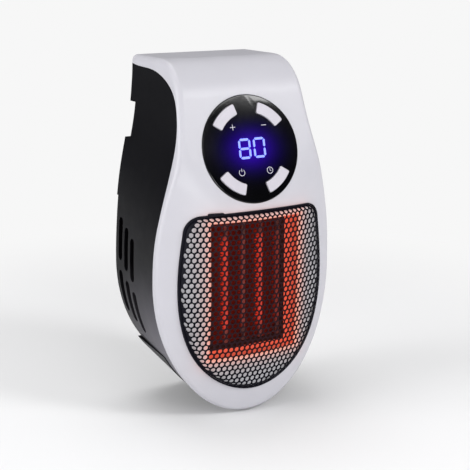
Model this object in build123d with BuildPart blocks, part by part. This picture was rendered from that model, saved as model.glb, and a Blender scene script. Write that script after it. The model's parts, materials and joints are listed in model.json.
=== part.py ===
from build123d import *
from math import asin, cos, degrees, pi, radians, sin, sqrt, tan
import os

os.makedirs("parts", exist_ok=True)

# The wall is the plane Y = 0 and the room lies towards -Y, so a depth is a distance from the wall.
# Z = 0 is the axis of the rotating plug. Drops are measured downwards from it.

# One cut runs this far past what it cuts
overrun = 5.0

# Fits
face_gap = 0.1            # between pieces of the casing that lie face to face
loose_gap = 0.3           # between a piece and the hollow that holds it
running_gap = 0.06        # radial, between a turning shaft and its hole

# Outer form, an egg seen from the front that narrows towards the wall
wall = 2.0
belly_drop = 75.0
rim_depth = 56.0
rim_half_width = 51.0
rim_reach = 73.0
rim_head_half_width = 35.3
back_half_width = 47.6
back_reach = 62.0
back_head_half_width = 35.0
head_height = 33.0
form_depth = 76.0
flank_height_shares = (0.18, 0.32, 0.46, 0.60, 0.74, 0.86)
rim_flank_shares = (0.949, 0.785, 0.541, 0.278, 0.114, 0.03)
back_flank_shares = (0.94, 0.84, 0.67, 0.42, 0.18, 0.06)

# Front face: a belly that curves sideways, and below its widest level also downwards
face_depth = 69.3
face_radius = 104.0
belly_radius = 300.0
belly_turn = 18.0
rim_radius = 3.2
crease_radius = 34.0

# Control panel, a tilted disc on the flat head of the face
panel_depth = 61.1
panel_drop = 10.2
panel_tilt = 16.3
panel_radius = 27.15
panel_thickness = 1.6
panel_proud = 0.7
panel_edge = 0.6
panel_hole_radius = 25.3
hood_radius = 25.0

# Line where the white cover meets the black casing, seen from the side, from the wall over the
# head and down the flank, as shares of the rim depth and of the whole height from its lowest point
parting_depth_shares = (0.25, 0.455, 0.589, 0.732, 0.866, 0.93, 0.962, 0.98, 0.98, 0.946, 0.914,
                        0.907, 0.925, 0.968, 1.0)
parting_height_shares = (0.970, 0.966, 0.956, 0.937, 0.902, 0.862, 0.823, 0.751, 0.641, 0.530, 0.403,
                         0.276, 0.144, -0.011, -0.11)
parting_top_share = 0.976

# Window behind the grille, the heating block and its duct
window_half_width = 25.8
window_half_height = 35.5
heater_drop = 80.25
duct_wall = 1.6
duct_depth = 38.0
duct_flange = 2.0
frame_depth = 52.3
bar_depth = 53.8
bar_back_depth = 40.0
bar_count = 5
bar_pitch = 10.3
bar_thickness = 2.4
bar_half_height = 31.5
fin_thickness = 0.2
fin_count = 42
tab_width = 4.8
tab_thickness = 0.8
tab_reach = 3.2
tab_depth = 44.0

# Grille, a pressed basket of perforated sheet that stands in a low frame on the face
grille_standoff = 3.2
grille_thickness = 0.6
grille_bend = 2.8
frame_height = 1.0
grille_half_width = 41.8
grille_top_drop = 39.6
grille_corner_drop = 40.6
grille_corner_half_width = 38.0
grille_bottom_drop = 134.6
grille_corner_radius = 9.0
grille_border = 0.8
grille_low_width_shares = (0.97, 0.80, 0.55, 0.27)
grille_low_height_shares = (0.32, 0.66, 0.86, 0.966)
hole_pitch = 5.86
hole_across = 4.5
hole_margin = 3.2

# Buttons of the panel, four pieces of one ring
button_inner_radius = 18.2
button_outer_radius = 23.8
button_span = 39.5
button_angles = (53.0, 127.0, 233.0, 307.0)
button_names = ("temp_down_button", "temp_up_button", "power_button", "timer_button")
button_corner = 0.8
button_proud = 0.6
button_edge = 0.3
button_lip = 0.8
button_lip_thickness = 0.9
button_foot_radius = 1.6
button_free_play = 0.55

# Control board behind the panel
board_thickness = 1.6
board_standoff = 4.4
board_radius = 24.4
tact_size = 5.2
tact_height = 1.6
tact_plunger_radius = 1.2
tact_plunger_height = 0.4
display_width = 22.0
display_height = 14.5
receiver_width = 6.0
receiver_height = 3.2
receiver_reach = 19.6
buzzer_radius = 4.5
buzzer_height = 5.0
buzzer_reach = 13.0
post_reach = 20.8
post_radius = 2.2
post_angles = (0.0, 180.0, 270.0)

# Plug
plug_radius = 26.0
plug_thickness = 5.7
plug_edge = 0.8
plug_floor = 2.5
plug_neck_radius = 17.0
plug_core_radius = 15.0
plug_core_depth = 11.0
plug_grip_count = 36
plug_grip_radius = 0.6
housing_wall = 1.8
notch_half_height = 9.25
notch_depth = 6.0
notch_inner = 24.0
retainer_radius = 19.5
retainer_thickness = 1.8
blade_spacing = 12.7
blade_thickness = 1.5
blade_width = 6.35
blade_length = 17.5
blade_hole_radius = 1.6
blade_hole_reach = 11.7
blade_chamfer_share = 0.3
ring_width = 2.3
ring_thickness = 0.8
line_ring_radius = 6.7
neutral_ring_radius = 12.4
neutral_arm_depth = 7.0
spring_thickness = 0.5
spring_width = 3.0
spring_gap = 0.2
spring_tip_radius = 1.2
spring_tip_height = 0.5
spring_reach = 18.0
spring_foot = 4.2
spring_round_share = 0.7
carrier_thickness = 2.0
carrier_half_width = 9.0
carrier_reach = 27.0
carrier_foot = 6.0
carrier_screw_bite = 2.0

# Power board in the head
power_board_depth = 26.0
power_board_half_width = 25.5
power_board_top = 16.0
power_board_drop = 33.0
power_post_x = 22.6
power_post_high = 13.0
power_post_drop = 30.0
relay_width = 19.0
relay_height = 15.5
relay_depth = 15.4
relay_x = -12.5
relay_drop = 7.0
film_width = 18.0
film_height = 8.0
film_depth = 12.0
film_x = 11.5
film_drop = 11.0
can_radius = 5.0
can_height = 12.0
can_x = 11.5
can_high = 5.5
terminal_width = 22.0
terminal_height = 7.6
terminal_depth = 10.0
terminal_drop = 27.0
terminal_poles = 4
component_edge = 0.3
component_round = 0.8

# Fan behind the heating block
fan_radius = 24.2
fan_tip_gap = 0.8
fan_wall = 1.6
fan_plate = 2.0
fan_depth = 36.0
fan_back_depth = 24.0
fan_hub_radius = 8.5
fan_hub_wall = 1.2
fan_blade_count = 7
fan_blade_thickness = 1.0
fan_root_pitch = 48.0
fan_tip_pitch = 28.0
fan_shroud_back = 22.0
fan_arm_width = 3.6
fan_arm_thickness = 2.0
fan_arm_count = 3
motor_radius = 10.0
motor_back_depth = 6.2
motor_front_depth = 20.0
motor_boss_radius = 3.0
motor_boss_height = 1.4
motor_cup = 1.6
motor_cup_back = 14.0
shaft_radius = 1.0
shaft_back_depth = 8.0
shaft_front_depth = 34.0

# Rear casing
back_wall = 3.7
belly_recess = 1.5
belly_recess_drop = 39.5
vent_width = 5.2
vent_length = 23.0
vent_row_gap = 5.4
vent_pitch = 8.1
vent_column_step = 4.0
vent_first_depth = 7.8
vent_first_drop = 50.0
vent_columns = 3
vent_rows = 2
intake_radius = 27.0
intake_pitch = 6.0
intake_slot = 3.0
intake_rib = 3.0
intake_rows = 9

# Screws
screw_radius = 1.4
screw_head_radius = 2.6
screw_head_height = 1.8
screw_grip = 12.0
boss_wall = 1.6
boss_web = 2.2
boss_split_depth = 36.0
head_boss_x = 27.8
head_boss_height = 21.0
belly_boss_x = 31.6
belly_boss_drop = 108.0
duct_screw_x = 20.0
duct_screw_reach = 42.4
small_screw_radius = 1.0
small_head_radius = 1.9
small_head_height = 1.2
small_screw_grip = 4.6
head_round_share = 0.6
recess_depth_share = 0.55
recess_length_share = 1.1
recess_width_share = 0.3

# Band under the belly with the mains switch
band_start_depth = 3.5
band_end_depth = 42.0
band_thickness = 1.7
band_end_thickness = 0.5
band_drop = 118.0
switch_depth = 24.0
switch_pad = 2.2
switch_pad_half_width = 7.4
switch_pad_half_length = 16.0
pad_edge = 0.8
switch_bezel_half_width = 5.25
switch_bezel_half_length = 7.5
switch_bezel_height = 1.6
switch_body_half_width = 4.3
switch_body_half_length = 6.7
switch_body_depth = 9.0
switch_wall = 0.8
switch_tab_reach = 4.0
switch_tab_half_width = 2.4
switch_tab_offset = 4.0
rocker_radius = 5.4
rocker_rise = 1.3
rocker_dip = 0.5
rocker_skirt = 1.8
rocker_tilt = 9.0
rocker_pin_radius = 0.8
plate_screw_reach = 12.5

# Safety parts and leads
cutout_radius = 8.0
cutout_height = 4.6
cutout_depth = 47.0
cutout_cap = 2.4
cutout_rise = 14.0
fuse_radius = 1.9
fuse_length = 11.0
fuse_depth = 46.0
lead_radius = 0.7
lead_bend_share = 0.45
lead_bend = 3.0
lead_rise = 2.5
lead_lane_x = 24.0
lead_lane_depth = 13.0
lead_spacing = 3.0
motor_lead_x = 3.0
motor_lead_depth = 10.0


def at_depth(depth):
    return Plane.XZ.offset(depth)


def blend(back_size, rim_size, depth):
    return back_size + (rim_size - back_size) * depth / rim_depth


def save(part, name):
    part.label = name
    export_step(part, f"parts/{name}.step")


def body_outline(depth, inset):
    half_width = blend(back_half_width, rim_half_width, depth) - inset
    head_half_width = blend(back_head_half_width, rim_head_half_width, depth) - inset
    reach = blend(back_reach, rim_reach, depth) - inset
    head_top = head_height - inset
    flank = [(half_width, -belly_drop)]
    for height_share, back_share, rim_share in zip(flank_height_shares, back_flank_shares, rim_flank_shares):
        swell = (half_width - head_half_width) * blend(back_share, rim_share, depth)
        flank.append((head_half_width + swell, (head_top + belly_drop) * height_share - belly_drop))
    flank.append((head_half_width, head_top))
    with BuildSketch(at_depth(depth)) as outline:
        with BuildLine():
            EllipticalCenterArc((0, -belly_drop), half_width, reach, 180, arc_size=180)
            Spline(*flank, tangents=((0, 1), (0, 1)))
            Line((head_half_width, head_top), (-head_half_width, head_top))
            Spline(*[(-x, z) for x, z in flank], tangents=((0, 1), (0, 1)))
        make_face()
    return outline.sketch


def belly_form(inset):
    with BuildPart() as belly:
        with BuildSketch(Plane.XY.offset(-belly_drop)) as section:
            with Locations((0, face_radius - face_depth)):
                Circle(face_radius - inset)
            with Locations((0, overrun)):
                Rectangle(2 * face_radius, 2 * face_radius, align=(Align.CENTER, Align.MAX),
                          mode=Mode.INTERSECT)
        extrude(amount=belly_drop + head_height + overrun)
        turn_axis = Axis((0, belly_radius - face_depth, -belly_drop), (1, 0, 0))
        revolve(section.sketch, axis=turn_axis, revolution_arc=belly_turn)
    return belly.part


def head_form(inset):
    back = panel_proud + inset
    slope = tan(radians(panel_tilt))
    base_depth = panel_depth - back * cos(radians(panel_tilt))
    base_height = -panel_drop - back * sin(radians(panel_tilt))
    top = head_height - inset
    low = -belly_drop - rim_reach - overrun
    low_depth = base_depth + (belly_drop + base_height) * slope
    with BuildPart() as head:
        with BuildSketch(Plane.YZ) as side:
            with BuildLine():
                Polyline((-base_depth + (top - base_height) * slope, top), (overrun, top), (overrun, low),
                         (-low_depth, low), (-low_depth, -belly_drop), close=True)
            make_face()
            fillet(side.vertices().group_by(Axis.Y)[-1].sort_by(Axis.X)[0], hood_radius - inset)
        extrude(amount=2 * rim_half_width, both=True)
    return head.part


def body_form(inset):
    # The whole egg with its face, its tilted head and its rounded rim, all drawn in by the inset
    with BuildPart() as form:
        loft(sections=[body_outline(0, inset), body_outline(form_depth, inset)], ruled=True)
        add(belly_form(inset), mode=Mode.INTERSECT)
        add(head_form(inset), mode=Mode.INTERSECT)
        crease = form.edges().filter_by(GeomType.ELLIPSE).sort_by(Axis.Y)[0]
        fillet(crease, crease_radius - inset)
        front_edges = form.edges().filter_by(lambda edge: edge.center().Y < -rim_depth / 2 - wall)
        side_edges = front_edges.filter_by(lambda edge: abs(edge.center().X) > panel_radius)
        hood_edges = form.edges().filter_by(lambda edge: edge.center().Z > head_height - wall - overrun)
        hood_edges = hood_edges.filter_by(lambda edge: abs(edge.center().X) > panel_radius)
        hood_edges = hood_edges.filter_by(lambda edge: -wall > edge.center().Y >= -rim_depth / 2 - wall)
        low_edge = front_edges.sort_by(Axis.Z)[0]
        fillet([*side_edges, *hood_edges, low_edge], rim_radius - inset)
    return form.part


def behind_parting(gap):
    # Everything on the wall's side of the line where the cover meets the casing
    low = -belly_drop - rim_reach
    whole = head_height - low
    curve = [(-rim_depth * depth_share - gap, low + whole * height_share + (gap if height_share > 0.9 else 0))
             for depth_share, height_share in zip(parting_depth_shares, parting_height_shares)]
    start = (0, low + whole * parting_top_share + gap)
    with BuildPart() as behind:
        with BuildSketch(Plane.YZ):
            with BuildLine():
                line = Spline(start, *curve)
                Polyline(line @ 1, (overrun, curve[-1][1]), (overrun, start[1]), start)
            make_face()
        extrude(amount=2 * rim_half_width, both=True)
    return behind.part


def panel_plane(height):
    # A plane along the control panel, raised towards the room from its front
    tilt = radians(panel_tilt)
    front = Vector(0, -cos(tilt), sin(tilt))
    return Plane(origin=Vector(0, -panel_depth, -panel_drop) + front * height, x_dir=(1, 0, 0), z_dir=front)


outer = body_form(0)
cavity = body_form(wall)

# Screws of the casing: two in the head, two in the belly
casing_screw_places = [(head_boss_x, head_boss_height), (-head_boss_x, head_boss_height),
                       (belly_boss_x, -belly_boss_drop), (-belly_boss_x, -belly_boss_drop)]
duct_screw_places = [(x, -heater_drop + z) for x in (-duct_screw_x, duct_screw_x)
                     for z in (-duct_screw_reach, duct_screw_reach)]
boss_radius = screw_head_radius + boss_wall
cover_boss_radius = screw_radius + boss_wall

# Front cover: hood, face, window, panel seat and screw posts
cover_posts = []
for places, start_depth in ((casing_screw_places, boss_split_depth + loose_gap),
                            (duct_screw_places, duct_depth + duct_flange + face_gap)):
    with BuildPart() as posts:
        with BuildSketch(at_depth(start_depth)):
            with Locations(*places):
                Circle(cover_boss_radius)
                Circle(screw_radius, mode=Mode.SUBTRACT)
        extrude(amount=face_depth - start_depth)
        add(cavity, mode=Mode.INTERSECT)
    cover_posts.append(posts.part)


def hollow_from(depth):
    # The inside of the body, closed towards the wall up to a depth
    with BuildPart() as hollow:
        add(cavity)
        with BuildSketch(Plane.XZ):
            Rectangle(2 * rim_half_width, 4 * form_depth)
        extrude(amount=depth, mode=Mode.SUBTRACT)
    return hollow.part


with BuildPart() as front_cover:
    add(outer)
    add(hollow_from(wall), mode=Mode.SUBTRACT)
    add(behind_parting(face_gap), mode=Mode.SUBTRACT)
    with BuildSketch(at_depth(duct_depth)):
        with Locations((0, -heater_drop)):
            Rectangle(2 * window_half_width, 2 * window_half_height)
    extrude(amount=form_depth - duct_depth, mode=Mode.SUBTRACT)
    with BuildSketch(panel_plane(-panel_thickness)):
        Circle(panel_radius + face_gap)
    extrude(amount=panel_thickness + overrun, mode=Mode.SUBTRACT)
    with BuildSketch(panel_plane(-panel_thickness - wall - overrun)):
        Circle(panel_hole_radius)
    extrude(amount=wall + 2 * overrun, mode=Mode.SUBTRACT)
    for posts_part in cover_posts:
        add(posts_part)
save(front_cover.part, "front_cover")

# Rear casing: side walls, back wall, plug housing, vents, intake and screw bosses
neck_hole_radius = plug_neck_radius + running_gap
recess_radius = plug_radius + loose_gap
recess_depth = plug_thickness + loose_gap
housing_depth = recess_depth + plug_floor

power_post_places = [(side * power_post_x, height) for side in (-1, 1)
                     for height in (power_post_high, -power_post_drop)]

carrier_places = [(0, carrier_reach - carrier_foot / 2), (0, carrier_foot / 2 - carrier_reach)]

with BuildPart() as casing_inside:
    # Plug housing and the pockets of the thumb notches
    with BuildSketch(Plane.XZ):
        Circle(recess_radius + housing_wall)
        Rectangle(4 * plug_radius, 2 * (notch_half_height + housing_wall))
    extrude(amount=housing_depth)
    with BuildSketch(Plane.XZ):
        with Locations(*casing_screw_places):
            Circle(boss_radius)
    extrude(amount=boss_split_depth)
    with BuildSketch(Plane.XZ):
        with Locations(*power_post_places):
            Circle(post_radius)
    extrude(amount=power_board_depth)
    add(cavity, mode=Mode.INTERSECT)

vent_slots = []
for column in range(vent_columns):
    for row in range(vent_rows):
        drop = vent_first_drop + column * vent_column_step + row * (vent_length + vent_row_gap)
        vent_slots.append((-vent_first_depth - column * vent_pitch, -drop - vent_length / 2))

# Place of the mains switch in the underside
flare = (rim_reach - back_reach) / rim_depth
switch_drop = belly_drop + blend(back_reach, rim_reach, switch_depth)


def switch_plane(height):
    # A plane along the underside at the switch, raised outwards; its second axis runs to the room
    outward = Vector(0, flare, -1).normalized()
    return Plane(origin=Vector(0, -switch_depth, -switch_drop) + outward * height,
                 x_dir=(1, 0, 0), z_dir=outward)


plate_screw_places = [(0, plate_screw_reach), (0, -plate_screw_reach)]
plate_seat = switch_pad - small_head_height
switch_axis = Axis(origin=(0, 0, 0), direction=switch_plane(0).z_dir)


def switch_cut(low, high, margin):
    with BuildPart() as cut:
        with BuildSketch(switch_plane(low)):
            Rectangle(2 * (switch_body_half_width + margin), 2 * (switch_body_half_length + margin))
        extrude(amount=high - low)
    return cut.part


def plate_screw_cut(radius, low, high):
    with BuildPart() as cut:
        with BuildSketch(switch_plane(low)):
            with Locations(*plate_screw_places):
                Circle(radius)
        extrude(amount=high - low)
    return cut.part


switch_hole = switch_cut(-switch_body_depth, switch_pad + overrun, loose_gap / 2)

with BuildPart() as rear_casing:
    add(outer)
    add(behind_parting(0), mode=Mode.INTERSECT)
    add(hollow_from(back_wall), mode=Mode.SUBTRACT)
    add(casing_inside.part)
    # The belly's back stands a little off the wall, so that air gets in
    with BuildSketch(Plane.XZ.offset(-overrun)):
        with Locations((0, -belly_recess_drop)):
            Rectangle(2 * rim_half_width, 2 * form_depth, align=(Align.CENTER, Align.MAX))
    extrude(amount=overrun + belly_recess, mode=Mode.SUBTRACT)
    # Plug recess and the hole for the plug's neck
    with BuildSketch(Plane.XZ):
        Circle(recess_radius)
    extrude(amount=recess_depth, mode=Mode.SUBTRACT)
    with BuildSketch(Plane.XZ):
        Circle(neck_hole_radius)
    extrude(amount=housing_depth + overrun, mode=Mode.SUBTRACT)
    # Thumb notches at both sides of the plug
    with BuildSketch(Plane.XZ):
        with Locations((notch_inner, 0)):
            Rectangle(rim_half_width, 2 * notch_half_height, align=(Align.MIN, Align.CENTER))
        with Locations((-notch_inner, 0)):
            Rectangle(rim_half_width, 2 * notch_half_height, align=(Align.MAX, Align.CENTER))
    extrude(amount=notch_depth, mode=Mode.SUBTRACT)
    # Side vents
    for side in (-1, 1):
        with BuildSketch(Plane.YZ.offset(side * (belly_boss_x + boss_radius))):
            with Locations(*vent_slots):
                SlotOverall(vent_length, vent_width, rotation=90)
        extrude(amount=side * rim_half_width, mode=Mode.SUBTRACT)
    # Intake behind the fan, two halves with a rib between
    with BuildSketch(Plane.XZ):
        for row in range(intake_rows):
            height = (row - (intake_rows - 1) / 2) * intake_pitch
            length = sqrt(intake_radius ** 2 - height ** 2) - intake_rib / 2
            for side in (-1, 1):
                with Locations((side * (length + intake_rib) / 2, height - heater_drop)):
                    SlotOverall(length, intake_slot)
    extrude(amount=back_wall + overrun, mode=Mode.SUBTRACT)
    # Screw holes
    with BuildSketch(Plane.XZ):
        with Locations(*casing_screw_places):
            Circle(screw_head_radius + loose_gap / 2)
    extrude(amount=boss_split_depth - boss_web, mode=Mode.SUBTRACT)
    with BuildSketch(Plane.XZ):
        with Locations(*casing_screw_places):
            Circle(screw_radius + loose_gap / 2)
    extrude(amount=boss_split_depth + overrun, mode=Mode.SUBTRACT)
    with BuildSketch(at_depth(power_board_depth - small_screw_grip)):
        with Locations(*power_post_places):
            Circle(small_screw_radius)
    extrude(amount=small_screw_grip + overrun, mode=Mode.SUBTRACT)
    with BuildSketch(at_depth(housing_depth - carrier_screw_bite)):
        with Locations(*carrier_places):
            Circle(small_screw_radius)
    extrude(amount=carrier_screw_bite + overrun, mode=Mode.SUBTRACT)
    add(switch_hole, mode=Mode.SUBTRACT)
    add(plate_screw_cut(small_screw_radius, -small_screw_grip, overrun), mode=Mode.SUBTRACT)
save(rear_casing.part, "rear_casing")


def grille_outline(inset):
    half_width = grille_half_width - inset
    low_height = grille_bottom_drop - inset - belly_drop
    corner = (grille_corner_half_width - inset, -grille_corner_drop - inset)
    side = [corner, (half_width, -belly_drop)]
    for width_share, height_share in zip(grille_low_width_shares, grille_low_height_shares):
        side.append((half_width * width_share, -belly_drop - low_height * height_share))
    with BuildSketch(Plane.XZ) as outline:
        with BuildLine():
            ThreePointArc(corner, (0, -grille_top_drop - inset), (-corner[0], corner[1]))
            Spline(*side, (0, inset - grille_bottom_drop), *[(-x, z) for x, z in reversed(side)])
        make_face()
        fillet(outline.vertices(), grille_corner_radius - inset)
    return outline.sketch


def sheet_form(low, high):
    # A skin that follows the belly of the face, from one height above it to another
    with BuildPart() as sheet:
        add(belly_form(-high))
        add(belly_form(-low), mode=Mode.SUBTRACT)
    return sheet.part


# Low black frame round the grille, which lies on the face
with BuildPart() as grille_frame:
    with BuildSketch(Plane.XZ):
        add(grille_outline(0))
        add(grille_outline(grille_border), mode=Mode.SUBTRACT)
    extrude(amount=form_depth + overrun)
    add(sheet_form(face_gap, frame_height), mode=Mode.INTERSECT)
save(grille_frame.part, "grille_frame")


def basket_form(inset):
    # A pressed pad that follows the belly, with a rounded edge, drawn in by the inset
    with BuildPart() as basket:
        with BuildSketch(Plane.XZ):
            add(grille_outline(grille_border + face_gap + inset))
        extrude(amount=form_depth + overrun)
        add(belly_form(inset - grille_standoff), mode=Mode.INTERSECT)
        front = basket.faces().filter_by(lambda face: face.normal_at().Y < -1 / 2)
        rim = front.edges().filter_by(lambda edge: abs(edge.center().Z + belly_drop) > overrun)
        fillet(rim, grille_bend - inset)
    return basket.part


# Perforated grille: rows of six-sided holes wherever a whole hole fits in the border
hole_field = grille_outline(grille_border + hole_margin).face()
hole_rows = int((grille_bottom_drop - grille_top_drop) / (hole_pitch * sqrt(3) / 2))
hole_columns = int(grille_half_width / hole_pitch) + 1
hole_places = []
for row in range(hole_rows):
    height = -grille_top_drop - (row + 1) * hole_pitch * sqrt(3) / 2
    for column in range(-hole_columns, hole_columns + 1):
        across = (column + (row % 2) / 2) * hole_pitch
        if hole_field.is_inside(Vector(across, 0, height)):
            hole_places.append((across, height))

with BuildPart() as grille:
    add(basket_form(0))
    add(basket_form(grille_thickness), mode=Mode.SUBTRACT)
    add(belly_form(-face_gap), mode=Mode.SUBTRACT)
    with BuildSketch(Plane.XZ):
        with Locations(*hole_places):
            RegularPolygon(hole_across / 2, 6, major_radius=False, rotation=30)
    extrude(amount=form_depth + overrun, mode=Mode.SUBTRACT)
save(grille.part, "grille")

# Duct from the window back to the fan, with ears for the screws
with BuildPart() as air_duct:
    with BuildSketch(at_depth(duct_depth)):
        with Locations((0, -heater_drop)):
            Rectangle(2 * (window_half_width + duct_wall), 2 * (window_half_height + duct_wall))
    extrude(amount=form_depth - duct_depth)
    with BuildSketch(at_depth(duct_depth)):
        with Locations(*duct_screw_places):
            Circle(cover_boss_radius)
        for side in (-1, 1):
            with Locations((0, side * duct_screw_reach / 2 - heater_drop)):
                Rectangle(2 * (duct_screw_x + cover_boss_radius), duct_screw_reach)
    extrude(amount=duct_flange)
    add(body_form(wall + face_gap), mode=Mode.INTERSECT)
    with BuildSketch(at_depth(duct_depth - overrun)):
        with Locations((0, -heater_drop)):
            Rectangle(2 * window_half_width, 2 * window_half_height)
    extrude(amount=form_depth, mode=Mode.SUBTRACT)
    with BuildSketch(at_depth(duct_depth - overrun)):
        with Locations(*duct_screw_places):
            Circle(screw_radius + loose_gap / 2)
    extrude(amount=form_depth, mode=Mode.SUBTRACT)
    # Slots in the roof for the tabs of the heating block
    with BuildSketch(Plane.XY.offset(-heater_drop)):
        with Locations((bar_pitch, -tab_depth), (-bar_pitch, -tab_depth)):
            Rectangle(tab_thickness + 2 * loose_gap, tab_width + 2 * loose_gap)
    extrude(amount=window_half_height + duct_wall + overrun, mode=Mode.SUBTRACT)
save(air_duct.part, "air_duct")

# Heating block: a frame, upright ceramic bars and folded fins between them
frame_half_width = window_half_width - loose_gap
frame_half_height = window_half_height - loose_gap
bar_reach = (bar_count - 1) / 2 * bar_pitch + bar_thickness / 2
with BuildPart() as heater_frame:
    with BuildSketch(at_depth(duct_depth + face_gap)):
        with Locations((0, -heater_drop)):
            Rectangle(2 * frame_half_width, 2 * frame_half_height)
            Rectangle(2 * (bar_reach + face_gap), 2 * (bar_half_height + face_gap), mode=Mode.SUBTRACT)
    extrude(amount=frame_depth - duct_depth - face_gap)
    with BuildSketch(Plane.XY.offset(-heater_drop)):
        with Locations((bar_pitch, -tab_depth), (-bar_pitch, -tab_depth)):
            Rectangle(tab_thickness + 2 * face_gap, tab_width + 2 * face_gap)
    extrude(amount=window_half_height, mode=Mode.SUBTRACT)
    front_face = heater_frame.faces().sort_by(Axis.Y)[0]
    chamfer(front_face.outer_wire().edges(), face_gap)
save(heater_frame.part, "heater_frame")

for index in range(bar_count):
    bar_x = (index - (bar_count - 1) / 2) * bar_pitch
    with BuildPart() as ptc_bar:
        with BuildSketch(at_depth(bar_back_depth)):
            with Locations((bar_x, -heater_drop)):
                Rectangle(bar_thickness, 2 * bar_half_height)
        extrude(amount=bar_depth - bar_back_depth)
        fillet(ptc_bar.edges().filter_by(Axis.Z), bar_thickness / 4)
        if abs(abs(bar_x) - bar_pitch) < face_gap:
            with BuildSketch(Plane.XY.offset(-heater_drop + bar_half_height)):
                with Locations((bar_x, -tab_depth)):
                    Rectangle(tab_thickness, tab_width)
            extrude(amount=window_half_height - bar_half_height + duct_wall + tab_reach)
    save(ptc_bar.part, f"ptc_bar_{index + 1}")

fin_half_width = (bar_pitch - bar_thickness) / 2 - face_gap
fold = 2 * bar_half_height / fin_count
fold_edge = fin_thickness / 2 * sqrt(1 + (2 * fin_half_width / fold) ** 2)
for index in range(bar_count - 1):
    fin_x = (index + 1 - bar_count / 2) * bar_pitch
    # The strip runs down in folds, one to the right and the next to the left
    swing = fin_half_width - fold_edge
    folds = [(fin_x + swing * (1 if turn % 2 else -1), -heater_drop + bar_half_height - turn * fold)
             for turn in range(fin_count + 1)]
    with BuildPart() as fin_strip:
        with BuildSketch(at_depth(bar_back_depth + fin_thickness)):
            with BuildLine():
                Polyline(*[(x + fold_edge, z) for x, z in folds],
                         *[(x - fold_edge, z) for x, z in reversed(folds)], close=True)
            make_face()
        extrude(amount=bar_depth - bar_back_depth - 2 * fin_thickness)
    save(fin_strip.part, f"fin_strip_{index + 1}")


def turned(profile, drop=0):
    # A round piece about an axis out of the wall, from pairs of depth and radius
    with BuildPart() as piece:
        with BuildSketch(Plane.YZ) as section:
            with BuildLine():
                Polyline(*[(-depth, radius - drop) for depth, radius in profile], close=True)
            make_face()
        revolve(section.sketch, axis=Axis((0, 0, -drop), (0, 1, 0)))
    return piece.part


def wallward(depth):
    # A plane whose raised side is the wall's side
    return Plane(origin=(0, -depth, 0), x_dir=(-1, 0, 0), z_dir=(0, 1, 0))


def screw(radius, head_radius, head_height, length):
    # Pan head above its own origin, cross recess, shank below
    with BuildPart() as piece:
        with BuildSketch():
            Circle(head_radius)
        extrude(amount=head_height)
        fillet(piece.edges().sort_by(Axis.Z)[-1], head_height * head_round_share)
        with BuildSketch(Plane.XY.offset(head_height * (1 - recess_depth_share))):
            Rectangle(head_radius * recess_length_share, head_radius * recess_width_share)
            Rectangle(head_radius * recess_width_share, head_radius * recess_length_share)
        extrude(amount=head_height, mode=Mode.SUBTRACT)
        with BuildSketch():
            Circle(radius)
        extrude(amount=-length)
        chamfer(piece.edges().sort_by(Axis.Z)[0], radius / 2)
    return piece.part


def screw_set(plane, places, radius, head_radius, head_height, length):
    with BuildPart(plane) as group:
        with Locations(*places):
            add(screw(radius, head_radius, head_height, length))
    return group.part


def small_screws(plane, places):
    return screw_set(plane, places, small_screw_radius, small_head_radius, small_head_height,
                     small_screw_grip)


# Fan: a shroud behind the duct, its motor, the shaft and the rotor
bore_radius = fan_radius + fan_tip_gap
cup_radius = motor_radius + face_gap + motor_cup
arm_back_depth = fan_shroud_back - fan_arm_thickness
with BuildPart() as fan_shroud:
    with BuildSketch(at_depth(fan_depth)):
        with Locations((0, -heater_drop)):
            Rectangle(2 * (window_half_width + duct_wall), 2 * (window_half_height + duct_wall))
            Rectangle(2 * (duct_screw_x + cover_boss_radius), 2 * duct_screw_reach)
        with Locations(*duct_screw_places):
            Circle(cover_boss_radius)
    extrude(amount=fan_plate - face_gap)
    with BuildSketch(at_depth(arm_back_depth)):
        with Locations((0, -heater_drop)):
            Circle(bore_radius + fan_wall)
    extrude(amount=duct_depth - face_gap - arm_back_depth)
    with BuildSketch(at_depth(arm_back_depth)):
        with Locations((0, -heater_drop)):
            Circle(bore_radius)
    extrude(amount=form_depth, mode=Mode.SUBTRACT)
    with BuildSketch(at_depth(arm_back_depth)):
        with Locations((0, -heater_drop)):
            Circle(cup_radius)
            with PolarLocations(0, fan_arm_count, start_angle=90):
                Rectangle(bore_radius + fan_wall / 2, fan_arm_width, align=(Align.MIN, Align.CENTER))
    extrude(amount=fan_arm_thickness)
    with BuildSketch(at_depth(motor_cup_back)):
        with Locations((0, -heater_drop)):
            Circle(cup_radius)
    extrude(amount=arm_back_depth - motor_cup_back)
    with BuildSketch(at_depth(motor_cup_back - overrun)):
        with Locations((0, -heater_drop)):
            Circle(motor_radius + face_gap)
    extrude(amount=arm_back_depth - motor_cup_back + overrun, mode=Mode.SUBTRACT)
    with BuildSketch(at_depth(motor_cup_back)):
        with Locations((0, -heater_drop)):
            Circle(motor_boss_radius + loose_gap)
    extrude(amount=fan_depth, mode=Mode.SUBTRACT)
    with BuildSketch(at_depth(fan_depth - overrun)):
        with Locations(*duct_screw_places):
            Circle(screw_radius + loose_gap / 2)
    extrude(amount=2 * overrun, mode=Mode.SUBTRACT)
save(fan_shroud.part, "fan_shroud")

motor_front = motor_front_depth + motor_boss_height
shaft_hole_radius = shaft_radius + running_gap
motor_edge = motor_boss_height / 2
save(turned([(motor_back_depth, 0), (motor_back_depth, motor_radius - motor_edge),
             (motor_back_depth + motor_edge, motor_radius), (motor_front_depth, motor_radius),
             (motor_front_depth, motor_boss_radius), (motor_front, motor_boss_radius),
             (motor_front, shaft_hole_radius), (shaft_back_depth - face_gap, shaft_hole_radius),
             (shaft_back_depth - face_gap, 0)], heater_drop), "fan_motor")
save(turned([(shaft_back_depth, 0), (shaft_back_depth, shaft_radius), (shaft_front_depth, shaft_radius),
             (shaft_front_depth, 0)], heater_drop), "motor_shaft")

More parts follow.
